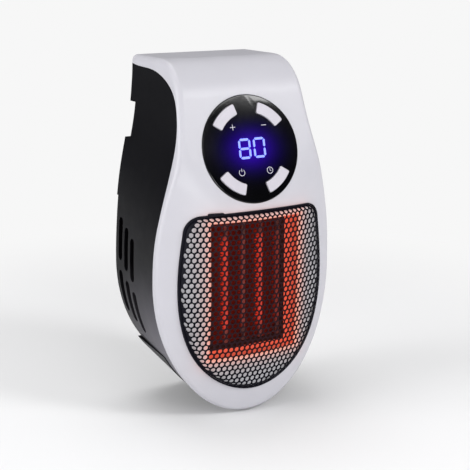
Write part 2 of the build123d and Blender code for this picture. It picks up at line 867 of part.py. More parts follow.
blade_depth = (fan_depth + fan_back_depth) / 2
blade_reach = fan_depth - fan_back_depth - 2 * fan_blade_thickness
blade_root_radius = fan_hub_radius - fan_hub_wall / 2


def blade_section(radius, pitch):
    plane = Plane(origin=(0, -blade_depth, radius - heater_drop), x_dir=(1, 0, 0), z_dir=(0, 0, 1))
    with BuildSketch(plane) as section:
        SlotOverall(blade_reach / sin(radians(pitch)), fan_blade_thickness, rotation=pitch)
    return section.sketch


with BuildPart() as blade:
    loft(sections=[blade_section(blade_root_radius, fan_root_pitch),
                   blade_section(fan_radius + fan_wall, fan_tip_pitch)])
    add(turned([(fan_back_depth, blade_root_radius), (fan_back_depth, fan_radius),
                (fan_depth, fan_radius), (fan_depth, blade_root_radius)], heater_drop), mode=Mode.INTERSECT)

with BuildPart() as fan_rotor:
    add(turned([(fan_depth, 0), (fan_depth, fan_hub_radius - fan_hub_wall),
                (fan_depth - fan_hub_wall, fan_hub_radius), (fan_back_depth, fan_hub_radius),
                (fan_back_depth, fan_hub_radius - fan_hub_wall),
                (fan_depth - fan_plate, fan_hub_radius - fan_hub_wall),
                (fan_depth - fan_plate, motor_boss_radius),
                (fan_back_depth + fan_hub_wall, motor_boss_radius),
                (fan_back_depth + fan_hub_wall, shaft_radius), (shaft_front_depth, shaft_radius),
                (shaft_front_depth, 0)], heater_drop))
    for index in range(fan_blade_count):
        add(blade.part.rotate(Axis((0, 0, -heater_drop), (0, 1, 0)), index * 360 / fan_blade_count))
save(fan_rotor.part, "fan_rotor")

# Control panel with its buttons, and the board behind it
panel_axis = Axis(origin=(0, 0, 0), direction=panel_plane(0).z_dir)
panel_back = -panel_thickness
board_front = panel_back - board_standoff
board_back = board_front - board_thickness
lip_top = panel_back - loose_gap
lip_bottom = lip_top - button_lip_thickness
plunger_top = board_front + tact_height + tact_plunger_height
foot_bottom = plunger_top + button_free_play
button_reach = (button_inner_radius + button_outer_radius) / 2
button_places = [(button_reach * cos(radians(angle)), button_reach * sin(radians(angle)))
                 for angle in button_angles]
panel_posts = [(post_reach * cos(radians(angle)), post_reach * sin(radians(angle))) for angle in post_angles]


def button_outline(angle, height, margin):
    with BuildSketch(panel_plane(height)) as outline:
        with BuildLine():
            outer_arc = CenterArc((0, 0), button_outer_radius, angle - button_span / 2, button_span)
            inner_arc = CenterArc((0, 0), button_inner_radius, angle - button_span / 2, button_span)
            Line(outer_arc @ 0, inner_arc @ 0)
            Line(outer_arc @ 1, inner_arc @ 1)
        make_face()
        fillet(outline.vertices(), button_corner)
        if margin:
            offset(amount=margin, mode=Mode.REPLACE)
    return outline.sketch


with BuildPart() as control_panel:
    with BuildSketch(panel_plane(panel_back)):
        Circle(panel_radius)
    extrude(amount=panel_thickness)
    fillet(control_panel.edges().group_by(Axis.Y)[0], panel_edge)
    for angle in button_angles:
        extrude(button_outline(angle, panel_back, loose_gap), amount=panel_thickness, mode=Mode.SUBTRACT)
    with BuildSketch(panel_plane(panel_back)):
        with Locations(*panel_posts):
            Circle(post_radius)
            Circle(small_screw_radius, mode=Mode.SUBTRACT)
    extrude(amount=-board_standoff)
save(control_panel.part, "control_panel")

for name, angle, place in zip(button_names, button_angles, button_places):
    with BuildPart() as button:
        extrude(button_outline(angle, button_proud, 0), amount=lip_top - button_proud)
        fillet(button.edges().group_by(panel_axis)[-1], button_edge)
        extrude(button_outline(angle, lip_top, button_lip), amount=-button_lip_thickness)
        with BuildSketch(panel_plane(lip_bottom)):
            with Locations(place):
                Circle(button_foot_radius)
        extrude(amount=foot_bottom - lip_bottom)
    save(button.part, name)

with BuildPart() as control_board:
    with BuildSketch(panel_plane(board_back)):
        Circle(board_radius)
        with Locations(*panel_posts):
            Circle(small_screw_radius + loose_gap / 2, mode=Mode.SUBTRACT)
    extrude(amount=board_thickness)
save(control_board.part, "control_board")

with BuildPart() as tact_switches:
    for angle, place in zip(button_angles, button_places):
        with BuildSketch(panel_plane(board_front)):
            with Locations(place):
                Rectangle(tact_size, tact_size, rotation=angle)
        extrude(amount=tact_height)
        with BuildSketch(panel_plane(board_front)):
            with Locations(place):
                Circle(tact_plunger_radius)
        extrude(amount=tact_height + tact_plunger_height)
save(tact_switches.part, "tact_switches")

with BuildPart() as led_display:
    with BuildSketch(panel_plane(board_front)):
        Rectangle(display_width, display_height)
    extrude(amount=board_standoff - loose_gap)
    chamfer(led_display.faces().sort_by(Axis.Y)[0].edges(), component_edge)
save(led_display.part, "led_display")

with BuildPart() as ir_receiver:
    with BuildSketch(panel_plane(board_front)):
        with Locations((0, receiver_reach)):
            Rectangle(receiver_width, receiver_height)
    extrude(amount=receiver_height)
    with BuildSketch(panel_plane(board_front + receiver_height)):
        with Locations((0, receiver_reach)):
            Circle(receiver_height / 2 - component_edge)
    extrude(amount=component_round)
save(ir_receiver.part, "ir_receiver")

with BuildPart() as buzzer:
    with BuildSketch(panel_plane(board_back)):
        with Locations((0, -buzzer_reach)):
            Circle(buzzer_radius)
    extrude(amount=-buzzer_height)
    with BuildSketch(panel_plane(board_back - buzzer_height)):
        with Locations((0, -buzzer_reach)):
            Circle(component_round)
    extrude(amount=buzzer_height / 4, mode=Mode.SUBTRACT)
save(buzzer.part, "buzzer")

# Power board in the head, on four posts of the casing
board_face_depth = power_board_depth + board_thickness
with BuildPart() as power_board:
    with BuildSketch(at_depth(power_board_depth)):
        with Locations((0, (power_board_top - power_board_drop) / 2)):
            Rectangle(2 * power_board_half_width, power_board_top + power_board_drop)
        with Locations(*power_post_places):
            Circle(small_screw_radius + loose_gap / 2, mode=Mode.SUBTRACT)
    extrude(amount=board_thickness)
save(power_board.part, "power_board")


def board_box(x, z, width, height, depth):
    with BuildPart() as box:
        with BuildSketch(at_depth(board_face_depth)):
            with Locations((x, z)):
                Rectangle(width, height)
        extrude(amount=depth)
        chamfer(box.faces().sort_by(Axis.Y)[0].edges(), component_edge)
    return box.part


save(board_box(relay_x, -relay_drop, relay_width, relay_height, relay_depth), "relay")
save(board_box(film_x, -film_drop, film_width, film_height, film_depth), "filter_capacitor")

with BuildPart() as smoothing_capacitor:
    with BuildSketch(at_depth(board_face_depth)):
        with Locations((can_x, can_high)):
            Circle(can_radius)
    extrude(amount=can_height)
    fillet(smoothing_capacitor.edges().group_by(Axis.Y)[0], component_round)
    with BuildSketch(at_depth(board_face_depth + can_height)):
        with Locations((can_x, can_high)):
            Rectangle(can_radius, component_edge)
            Rectangle(component_edge, can_radius)
    extrude(amount=-component_edge, mode=Mode.SUBTRACT)
save(smoothing_capacitor.part, "smoothing_capacitor")

pole_pitch = terminal_width / terminal_poles
with BuildPart() as terminal_block:
    add(board_box(0, -terminal_drop, terminal_width, terminal_height, terminal_depth))
    with BuildSketch(at_depth(board_face_depth + terminal_depth)):
        with Locations((0, -terminal_drop)):
            with GridLocations(pole_pitch, terminal_height, terminal_poles, 1):
                Circle(small_head_radius)
    extrude(amount=-small_head_height, mode=Mode.SUBTRACT)
save(terminal_block.part, "terminal_block")


# Plug: a turning disc with two blades, held in its housing by a ring on its neck
neck_end = housing_depth + loose_gap
blade_x = blade_spacing / 2
arm_end_depth = neutral_arm_depth + blade_thickness


def blade_box(x, width, start_depth, end_depth):
    with BuildPart() as box:
        with BuildSketch(at_depth(start_depth)):
            with Locations((x, 0)):
                Rectangle(width, blade_width)
        extrude(amount=end_depth - start_depth)
    return box.part


def finish_blade(rough, x):
    with BuildPart() as finished:
        add(rough)
        tip_edges = finished.edges().group_by(Axis.Y)[-1]
        chamfer(tip_edges, blade_thickness * blade_chamfer_share)
        with BuildSketch(Plane.YZ.offset(x)):
            with Locations((blade_hole_reach, 0)):
                Circle(blade_hole_radius)
        extrude(amount=blade_thickness, both=True, mode=Mode.SUBTRACT)
    return finished.part


line_blade = finish_blade(blade_box(blade_x, blade_thickness, -blade_length, plug_core_depth), blade_x)
with BuildPart() as neutral_rough:
    add(blade_box(-blade_x, blade_thickness, -blade_length, arm_end_depth))
    with BuildSketch(at_depth(neutral_arm_depth)):
        with Locations((-blade_x, 0)):
            Rectangle(neutral_ring_radius - blade_x + blade_thickness / 2, blade_width,
                      align=(Align.MAX, Align.CENTER))
    extrude(amount=blade_thickness)
    add(blade_box(-neutral_ring_radius, blade_thickness, neutral_arm_depth, plug_core_depth))
neutral_blade = finish_blade(neutral_rough.part, -blade_x)

with BuildPart() as plug_disc:
    add(turned([(0, 0), (0, plug_radius - plug_edge), (plug_edge, plug_radius), (plug_thickness, plug_radius),
                (plug_thickness, plug_neck_radius), (neck_end, plug_neck_radius),
                (neck_end, plug_core_radius),
                (plug_core_depth, plug_core_radius), (plug_core_depth, 0)]))
    with BuildSketch(Plane.XZ):
        with PolarLocations(plug_radius, plug_grip_count):
            Circle(plug_grip_radius)
    extrude(amount=plug_thickness, mode=Mode.SUBTRACT)
    add(line_blade, mode=Mode.SUBTRACT)
    add(neutral_blade, mode=Mode.SUBTRACT)
save(plug_disc.part, "plug_disc")
save(line_blade, "line_blade")
save(neutral_blade, "neutral_blade")


def ring(start_depth, end_depth, inner_radius, outer_radius):
    return turned([(start_depth, inner_radius), (start_depth, outer_radius),
                   (end_depth, outer_radius), (end_depth, inner_radius)])


ring_face_depth = plug_core_depth + ring_thickness
save(ring(neck_end, neck_end + retainer_thickness, plug_core_radius, retainer_radius), "plug_retainer")
save(ring(plug_core_depth, ring_face_depth, line_ring_radius - ring_width / 2,
          line_ring_radius + ring_width / 2), "line_slip_ring")
save(ring(plug_core_depth, ring_face_depth, neutral_ring_radius - ring_width / 2,
          neutral_ring_radius + ring_width / 2), "neutral_slip_ring")

# Leaf springs that press on the slip rings, on a bar across the housing
spring_top = ring_face_depth + spring_gap + spring_tip_height
carrier_face = spring_top + spring_thickness


def leaf_spring(tip_reach, side):
    with BuildPart() as spring:
        with BuildSketch(at_depth(spring_top)):
            with Locations((0, side * tip_reach)):
                Circle(spring_width / 2)
            with Locations((0, side * (tip_reach + spring_reach) / 2)):
                Rectangle(spring_width, spring_reach - tip_reach)
            with Locations((-spring_width / 2, side * spring_reach)):
                Rectangle(carrier_half_width + spring_foot, spring_width, align=(Align.MIN, Align.CENTER))
        extrude(amount=spring_thickness)
        with BuildSketch(at_depth(spring_top - spring_tip_height)):
            with Locations((0, side * tip_reach)):
                Circle(spring_tip_radius)
        extrude(amount=spring_tip_height)
        fillet(spring.edges().group_by(Axis.Y)[-1], spring_tip_height * spring_round_share)
    return spring.part


save(leaf_spring(line_ring_radius, 1), "line_spring")
save(leaf_spring(neutral_ring_radius, -1), "neutral_spring")

carrier_seat = housing_depth + small_screw_grip - carrier_screw_bite
with BuildPart() as contact_carrier:
    with BuildSketch(at_depth(carrier_face)):
        Rectangle(2 * carrier_half_width, 2 * carrier_reach)
    extrude(amount=carrier_thickness)
    with BuildSketch(at_depth(housing_depth)):
        with Locations(*carrier_places):
            Rectangle(2 * carrier_half_width, carrier_foot)
    extrude(amount=carrier_face - housing_depth)
    with BuildSketch(at_depth(carrier_seat)):
        with Locations(*carrier_places):
            Circle(small_head_radius + loose_gap / 2)
    extrude(amount=form_depth, mode=Mode.SUBTRACT)
    with BuildSketch(at_depth(housing_depth)):
        with Locations(*carrier_places):
            Circle(small_screw_radius + loose_gap / 2)
    extrude(amount=form_depth, mode=Mode.SUBTRACT)
save(contact_carrier.part, "contact_carrier")

# Band under the belly, with the pad of the mains switch
with BuildPart() as bottom_plate:
    loft(sections=[body_outline(band_start_depth, -band_thickness),
                   body_outline(band_end_depth, -band_end_thickness)], ruled=True)
    with BuildSketch(at_depth(0)):
        with Locations((0, -band_drop)):
            Rectangle(2 * form_depth, form_depth, align=(Align.CENTER, Align.MAX))
    extrude(amount=form_depth, mode=Mode.INTERSECT)
    with BuildSketch(switch_plane(0)):
        RectangleRounded(2 * switch_pad_half_width, 2 * switch_pad_half_length, switch_pad)
    extrude(amount=switch_pad)
    loft(sections=[body_outline(0, -face_gap), body_outline(rim_depth, -face_gap)], ruled=True,
         mode=Mode.SUBTRACT)
    fillet(bottom_plate.edges().group_by(switch_axis)[-1], pad_edge)
    add(switch_hole, mode=Mode.SUBTRACT)
    add(plate_screw_cut(small_head_radius + loose_gap / 2, plate_seat, switch_pad + overrun),
        mode=Mode.SUBTRACT)
    add(plate_screw_cut(small_screw_radius + loose_gap / 2, 0, switch_pad), mode=Mode.SUBTRACT)
save(bottom_plate.part, "bottom_plate")

# Rocker switch, pushed into its hole, with the rocker on two pins
bezel_top = switch_pad + switch_bezel_height
pin_height = bezel_top - switch_wall
switch_inner_half_width = switch_body_half_width - switch_wall
switch_tab_end = -switch_body_depth - switch_tab_reach
pin_centre = switch_plane(pin_height).origin
with BuildPart() as switch_body:
    with BuildSketch(switch_plane(switch_pad)):
        RectangleRounded(2 * switch_bezel_half_width, 2 * switch_bezel_half_length, switch_wall)
    extrude(amount=switch_bezel_height)
    chamfer(switch_body.faces().sort_by(switch_axis)[-1].edges(), switch_wall / 2)
    add(switch_cut(-switch_body_depth, switch_pad, 0))
    add(switch_cut(switch_wall - switch_body_depth, bezel_top + overrun, -switch_wall), mode=Mode.SUBTRACT)
    with BuildSketch(switch_plane(switch_tab_end)):
        with Locations((0, switch_tab_offset), (0, -switch_tab_offset)):
            Rectangle(2 * switch_tab_half_width, tab_thickness)
    extrude(amount=switch_tab_reach)
    with BuildSketch(Plane(origin=pin_centre, z_dir=(1, 0, 0))):
        Circle(rocker_pin_radius + running_gap)
    extrude(amount=switch_inner_half_width + switch_wall / 2 + loose_gap, both=True, mode=Mode.SUBTRACT)
save(switch_body.part, "switch_body")

rocker_half_width = switch_inner_half_width - loose_gap
with BuildPart() as switch_rocker:
    with BuildSketch(Plane(origin=pin_centre, x_dir=switch_plane(0).y_dir, z_dir=(-1, 0, 0))) as rocker_side:
        with BuildLine():
            Polyline((-rocker_radius, rocker_rise), (0, rocker_dip), (rocker_radius, rocker_rise),
                     (rocker_radius, -rocker_skirt), (-rocker_radius, -rocker_skirt), close=True)
        make_face()
        fillet(rocker_side.vertices().group_by(Axis.Y)[-1], rocker_dip)
    extrude(amount=rocker_half_width, both=True)
    with BuildSketch(Plane(origin=pin_centre, z_dir=(1, 0, 0))):
        Circle(rocker_pin_radius)
    extrude(amount=switch_inner_half_width + switch_wall / 2, both=True)
save(switch_rocker.part.rotate(Axis(pin_centre, (1, 0, 0)), rocker_tilt), "switch_rocker")

# Safety parts: a cutout on the duct's side and a fuse on its roof
duct_side = window_half_width + duct_wall
duct_roof = -heater_drop + window_half_height + duct_wall
cutout_height_z = -heater_drop + cutout_rise
with BuildPart() as thermal_cutout:
    with BuildSketch(Plane.YZ.offset(duct_side)):
        with Locations((-cutout_depth, cutout_height_z)):
            Circle(cutout_radius)
    extrude(amount=cutout_cap)
    with BuildSketch(Plane.YZ.offset(duct_side)):
        with Locations((-cutout_depth, cutout_height_z)):
            Circle(cutout_radius - cutout_cap)
    extrude(amount=cutout_height)
    fillet(thermal_cutout.edges().sort_by(Axis.X)[-1], cutout_cap / 3)
save(thermal_cutout.part, "thermal_cutout")

fuse_z = duct_roof + fuse_radius
with BuildPart() as thermal_fuse:
    with BuildSketch(Plane.YZ):
        with Locations((-fuse_depth, fuse_z)):
            Circle(fuse_radius)
    extrude(amount=fuse_length / 2, both=True)
    fillet(thermal_fuse.edges().filter_by(GeomType.CIRCLE), fuse_radius / 3)
save(thermal_fuse.part, "thermal_fuse")

# Screws
save(screw_set(wallward(boss_split_depth - boss_web), casing_screw_places, screw_radius, screw_head_radius,
               screw_head_height, screw_grip), "casing_screws")
save(screw_set(wallward(fan_depth), duct_screw_places, screw_radius, screw_head_radius, screw_head_height,
               screw_grip), "duct_screws")
save(small_screws(at_depth(board_face_depth), power_post_places), "power_board_screws")
board_rear = panel_plane(board_back)
save(small_screws(Plane(origin=board_rear.origin, x_dir=-board_rear.x_dir, z_dir=-board_rear.z_dir),
                  [(-x, y) for x, y in panel_posts]), "control_board_screws")
save(small_screws(switch_plane(plate_seat), plate_screw_places), "bottom_plate_screws")
save(small_screws(at_depth(carrier_seat), carrier_places), "contact_carrier_screws")


def lead(*points):
    # A wire through some points, with its bends eased as far as the shortest stretch allows
    stretches = [(Vector(*end) - Vector(*start)).length for start, end in zip(points, points[1:])]
    with BuildPart() as wire:
        with BuildLine() as path:
            if len(points) > 2:
                FilletPolyline(*points, radius=min(lead_bend, lead_bend_share * min(stretches)))
            else:
                Line(*points)
        with BuildSketch(Plane(origin=path.line @ 0, z_dir=path.line % 0)):
            Circle(lead_radius)
        sweep()
    return wire.part


def cutout_rim(y):
    return cutout_height_z + sqrt(cutout_radius ** 2 - (y + cutout_depth) ** 2)


def save_leads(name, *wires):
    with BuildPart() as group:
        for wire in wires:
            add(wire)
    save(group.part, name)


# Leads of the heating block, the cutout and the fuse up to the terminal block
terminal_y = -board_face_depth - terminal_depth / 2
terminal_z = -terminal_drop - terminal_height / 2
tab_z = duct_roof + lead_radius + loose_gap
tab_y = -tab_depth - tab_width / 4
tab_x = bar_pitch + tab_thickness / 2
return_y = tab_y + cutout_radius / 2
fuse_end = fuse_length / 2
cutout_x = duct_side + cutout_height / 2
terminal_low = terminal_z - lead_rise
outer_pole = pole_pitch * 1.5
save_leads("heater_leads",
           lead((-tab_x + tab_thickness, -fuse_depth, fuse_z), (-fuse_end, -fuse_depth, fuse_z)),
           lead((fuse_end, -fuse_depth, fuse_z), (outer_pole, -fuse_depth, fuse_z),
                (outer_pole, -fuse_depth, terminal_low), (pole_pitch / 2, terminal_y, terminal_low),
                (pole_pitch / 2, terminal_y, terminal_z)),
           lead((tab_x, tab_y, tab_z), (cutout_x, tab_y, tab_z),
                (cutout_x, tab_y, cutout_rim(tab_y - lead_radius))),
           lead((cutout_x, return_y, cutout_rim(return_y - lead_radius)),
                (cutout_x, return_y, terminal_low), (outer_pole, terminal_y, terminal_low),
                (outer_pole, terminal_y, terminal_z)))

spring_foot_x = carrier_half_width + spring_foot - spring_width
save_leads("mains_leads",
           *[lead((spring_foot_x, -carrier_face, side * spring_reach),
                  (spring_foot_x, -power_board_depth, side * spring_reach)) for side in (-1, 1)])

board_low = lead_rise - power_board_drop
motor_lead_z = sqrt(motor_radius ** 2 - (motor_lead_x - lead_radius) ** 2) - heater_drop
save_leads("motor_leads",
           *[lead((x, -motor_lead_depth, motor_lead_z), (x, -motor_lead_depth, board_low),
                  (x, -power_board_depth, board_low)) for x in (-motor_lead_x, motor_lead_x)])

switch_wires = []
for side, lane in ((1, lead_lane_x), (-1, lead_lane_x - lead_spacing)):
    start, rise = [switch_plane(height).origin + switch_plane(0).y_dir * (side * switch_tab_offset)
                   for height in (switch_tab_end, switch_tab_end - lead_rise)]
    switch_wires.append(lead((0, start.Y, start.Z), (0, rise.Y, rise.Z),
                             (-lane, -lead_lane_depth, -heater_drop - bore_radius),
                             (-lane, -lead_lane_depth, -heater_drop + bore_radius),
                             (lead_spacing * 3 - lane, -lead_lane_depth, board_low),
                             (lead_spacing * 3 - lane, -power_board_depth, board_low)))
save_leads("switch_leads", *switch_wires)
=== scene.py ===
import json
import math

import bmesh
import bpy
from mathutils import Matrix, Vector
from mathutils.geometry import convex_hull_2d

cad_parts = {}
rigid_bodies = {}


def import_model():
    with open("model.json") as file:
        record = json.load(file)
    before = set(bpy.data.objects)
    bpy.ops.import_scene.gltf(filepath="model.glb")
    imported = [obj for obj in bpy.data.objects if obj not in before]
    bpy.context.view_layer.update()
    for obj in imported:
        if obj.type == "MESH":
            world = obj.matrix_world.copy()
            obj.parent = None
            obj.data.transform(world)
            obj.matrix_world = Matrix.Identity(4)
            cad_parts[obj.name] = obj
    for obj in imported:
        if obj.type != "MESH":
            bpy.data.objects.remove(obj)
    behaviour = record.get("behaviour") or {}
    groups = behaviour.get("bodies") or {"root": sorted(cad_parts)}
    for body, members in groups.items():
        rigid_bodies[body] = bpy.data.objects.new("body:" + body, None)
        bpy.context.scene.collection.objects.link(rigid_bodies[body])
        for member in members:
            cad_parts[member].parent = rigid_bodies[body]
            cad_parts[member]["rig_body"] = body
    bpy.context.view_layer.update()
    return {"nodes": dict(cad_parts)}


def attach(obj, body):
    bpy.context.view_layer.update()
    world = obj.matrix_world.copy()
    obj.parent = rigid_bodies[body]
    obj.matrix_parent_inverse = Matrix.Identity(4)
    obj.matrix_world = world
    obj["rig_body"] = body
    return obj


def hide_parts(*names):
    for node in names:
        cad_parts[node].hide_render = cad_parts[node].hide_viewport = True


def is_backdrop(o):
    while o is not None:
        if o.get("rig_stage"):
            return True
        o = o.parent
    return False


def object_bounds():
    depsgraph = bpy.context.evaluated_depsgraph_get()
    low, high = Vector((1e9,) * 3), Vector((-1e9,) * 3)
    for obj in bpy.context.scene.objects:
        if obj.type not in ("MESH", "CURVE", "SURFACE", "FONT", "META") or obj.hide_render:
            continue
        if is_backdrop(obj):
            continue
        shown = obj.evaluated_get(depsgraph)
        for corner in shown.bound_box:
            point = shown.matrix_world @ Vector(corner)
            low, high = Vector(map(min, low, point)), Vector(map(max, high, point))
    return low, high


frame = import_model()
nodes = frame["nodes"]
mm = 0.001
print("frame loaded:", len(nodes), "nodes")


# ---- node helpers for shaders and geometry

def add(tree, kind, inputs=None, **settings):
    # a node with its settings and inputs; an input is a value or a socket
    node = tree.nodes.new(kind)
    for key, value in settings.items():
        setattr(node, key, value)
    for key, value in (inputs or {}).items():
        socket = node.inputs[key]
        if isinstance(value, bpy.types.NodeSocket):
            tree.links.new(value, socket)
        else:
            socket.default_value = value
    return node


def calc(tree, operation, *values):
    return add(tree, "ShaderNodeMath", dict(enumerate(values)), operation=operation).outputs[0]


def product(tree, first, *others):
    for other in others:
        first = calc(tree, "MULTIPLY", first, other)
    return first


def squares(tree, a, b):
    return calc(tree, "ADD", calc(tree, "MULTIPLY", a, a), calc(tree, "MULTIPLY", b, b))


def ranged(tree, value, start=0.0, end=1.0, low=0.0, high=1.0, smooth=False):
    # start to end becomes low to high, and stays there beyond
    return add(tree, "ShaderNodeMapRange", {
        "Value": value, "From Min": start, "From Max": end, "To Min": low, "To Max": high,
    }, interpolation_type="SMOOTHSTEP" if smooth else "LINEAR").outputs["Result"]


# ---- shader helpers

grainLook = {
    "softShare": 12, "softDetail": 4.0, "fineDetail": 2.0, "from": 0.3, "to": 0.7,
    "roughSpread": 0.06, "leastRough": 0.02, "reliefDepth": 0.4,
}


def newMaterial(name):
    mat = bpy.data.materials.new(name)
    mat.use_nodes = True
    return mat, mat.node_tree, mat.node_tree.nodes["Principled BSDF"]


def objectAxes(tree):
    # the three Object coordinates of the piece, in metres
    coords = tree.nodes.new("ShaderNodeTexCoord")
    return add(tree, "ShaderNodeSeparateXYZ", {0: coords.outputs["Object"]}).outputs[:3]


def noiseOf(tree, scale, detail=3.0, stretch=(1, 1, 1)):
    coords = tree.nodes.new("ShaderNodeTexCoord")
    mapping = add(tree, "ShaderNodeMapping", {"Vector": coords.outputs["Object"], "Scale": stretch})
    return add(tree, "ShaderNodeTexNoise", {
        "Vector": mapping.outputs["Vector"], "Scale": scale, "Detail": detail}).outputs["Fac"]


def rampOf(tree, value, stops):
    ramp = add(tree, "ShaderNodeValToRGB", {"Fac": value})
    elements = ramp.color_ramp.elements
    for element, (place, colour) in zip(elements, stops):
        element.position = place
        element.color = (*colour, 1)
    return ramp.outputs["Color"]


def shade(colour, factor):
    return tuple(min(1.0, channel * factor) for channel in colour)


def surface(name, colour, rough, metal=0.0, specular=0.5, grain=900.0, bump=0.02, tint=0.05,
            stretch=(1, 1, 1)):
    # a finish with a little unevenness in colour, gloss and height
    mat, tree, shader = newMaterial(name)
    shader.inputs["Metallic"].default_value = metal
    shader.inputs["Specular IOR Level"].default_value = specular
    soft = noiseOf(tree, grain / grainLook["softShare"], grainLook["softDetail"], stretch)
    stops = [(grainLook["from"], shade(colour, 1 - tint)), (grainLook["to"], shade(colour, 1 + tint))]
    tree.links.new(rampOf(tree, soft, stops), shader.inputs["Base Color"])
    least = max(grainLook["leastRough"], rough - grainLook["roughSpread"])
    tree.links.new(ranged(tree, soft, low=least, high=rough + grainLook["roughSpread"]),
                   shader.inputs["Roughness"])
    if bump:
        relief = add(tree, "ShaderNodeBump", {
            "Height": noiseOf(tree, grain, grainLook["fineDetail"], stretch),
            "Strength": bump, "Distance": grainLook["reliefDepth"] * mm})
        tree.links.new(relief.outputs["Normal"], shader.inputs["Normal"])
    return mat


def addGlow(mat, colour, strength):
    # emission whose strength comes from a socket of the same tree
    shader = mat.node_tree.nodes["Principled BSDF"]
    shader.inputs["Emission Color"].default_value = (*colour, 1)
    mat.node_tree.links.new(strength, shader.inputs["Emission Strength"])


# ---- light of the window on what lies round it, lengths in millimetres

glow = {
    "windowHalfWidth": 25.8, "windowHalfHeight": 35.5, "windowDrop": 80.25, "coverDepth": 50.0,
    "faceColour": (1.0, 0.3, 0.15), "faceStrength": 0.6, "faceSpread": 3.1,
    "edgeColour": (0.5, 0.12, 0.07), "edgePower": 1.5, "edgeShare": 0.85,
    "ductColour": (1.0, 0.115, 0.055), "ductStrength": 1.12, "ductFront": 66.0, "ductBack": 44.0,
    "ductFrontShare": 0.35, "ductReach": 0.2,
    "sheetColour": (1.0, 0.16, 0.1), "sheetStrength": 0.017, "sheetSpread": 1.6,
}
# the face behind the grille catches light that the sheet scatters, inside this rounded form
lift = {
    "colour": (0.95, 0.97, 1.0), "strength": 0.15, "halfWidth": 41.0, "drop": 75.0, "below": 58.7,
    "above": 34.5, "abovePower": 6.0, "belowPower": 2.4, "sidePowerBelow": 2.2, "edge": 0.96, "least": 0.001,
}


def windowDistance(tree, x, z):
    # distance outside the window's rectangle, in metres
    sideways = calc(tree, "SUBTRACT", calc(tree, "ABSOLUTE", x), glow["windowHalfWidth"] * mm)
    fromCentre = calc(tree, "ABSOLUTE", calc(tree, "ADD", z, glow["windowDrop"] * mm))
    upwards = calc(tree, "SUBTRACT", fromCentre, glow["windowHalfHeight"] * mm)
    return calc(tree, "SQRT", squares(tree, calc(tree, "MAXIMUM", sideways, 0.0),
                                      calc(tree, "MAXIMUM", upwards, 0.0)))


def fallOff(tree, distance, spread):
    return calc(tree, "EXPONENT", calc(tree, "MULTIPLY", distance, -1 / (spread * mm)))


coverWhite = surface("coverWhite", (0.44, 0.435, 0.472), 0.4, specular=0.4, grain=700, bump=0.03, tint=0.015)
tree = coverWhite.node_tree
shader = tree.nodes["Principled BSDF"]
x, y, z = objectAxes(tree)
near = fallOff(tree, windowDistance(tree, x, z), glow["faceSpread"])
inFront = calc(tree, "LESS_THAN", y, -glow["coverDepth"] * mm)
warm = product(tree, near, inFront, glow["faceStrength"])
aside = calc(tree, "ABSOLUTE", calc(tree, "DIVIDE", x, lift["halfWidth"] * mm))
down = calc(tree, "SUBTRACT", -lift["drop"] * mm, z)
below = calc(tree, "MAXIMUM", calc(tree, "DIVIDE", down, lift["below"] * mm), 0.0)
above = calc(tree, "MAXIMUM", calc(tree, "DIVIDE", down, -lift["above"] * mm), 0.0)
sidePower = calc(tree, "MULTIPLY_ADD", calc(tree, "GREATER_THAN", down, 0.0),
                 lift["sidePowerBelow"] - lift["abovePower"], lift["abovePower"])
upright = calc(tree, "ADD", calc(tree, "POWER", below, lift["belowPower"]),
               calc(tree, "POWER", above, lift["abovePower"]))
outward = calc(tree, "ADD", calc(tree, "POWER", aside, sidePower), upright)
lit = product(tree, calc(tree, "LESS_THAN", outward, lift["edge"]), inFront, lift["strength"])
both = calc(tree, "ADD", calc(tree, "ADD", warm, lit), lift["least"])  # above zero, because it divides
mix = add(tree, "ShaderNodeMix", {
    "Factor": calc(tree, "DIVIDE", warm, both), "A": (*lift["colour"], 1), "B": (*glow["faceColour"], 1),
}, data_type="RGBA")
tree.links.new(mix.outputs["Result"], shader.inputs["Emission Color"])
tree.links.new(both, shader.inputs["Emission Strength"])
# the light of the window drowns the white beside it
base = shader.inputs["Base Color"]
drown = add(tree, "ShaderNodeMix", {
    "Factor": product(tree, calc(tree, "POWER", near, glow["edgePower"]), inFront, glow["edgeShare"]),
    "A": base.links[0].from_socket, "B": (*glow["edgeColour"], 1),
}, data_type="RGBA")
tree.links.new(drown.outputs["Result"], base)

# painted light: the white duct's base colour is tinted dark orange, and its glow paints the heater's light on
# it, stronger deep inside
ductPaintedGlow = surface("ductPaintedGlow", (0.16, 0.08, 0.065), 0.55, grain=500, bump=0.03, tint=0.03)
tree = ductPaintedGlow.node_tree
x, y, z = objectAxes(tree)
inside = calc(tree, "LESS_THAN", windowDistance(tree, x, z), glow["ductReach"] * mm)
deeper = ranged(tree, y, -glow["ductFront"] * mm, -glow["ductBack"] * mm, glow["ductFrontShare"])
addGlow(ductPaintedGlow, glow["ductColour"], product(tree, inside, deeper, glow["ductStrength"]))

grilleMetal = surface("grilleMetal", (0.003, 0.003, 0.007), 0.5, specular=0.08, grain=2500, bump=0.06,
                      tint=0.15)
tree = grilleMetal.node_tree
x, y, z = objectAxes(tree)
near = fallOff(tree, windowDistance(tree, x, z), glow["sheetSpread"])
addGlow(grilleMetal, glow["sheetColour"], product(tree, near, glow["sheetStrength"]))
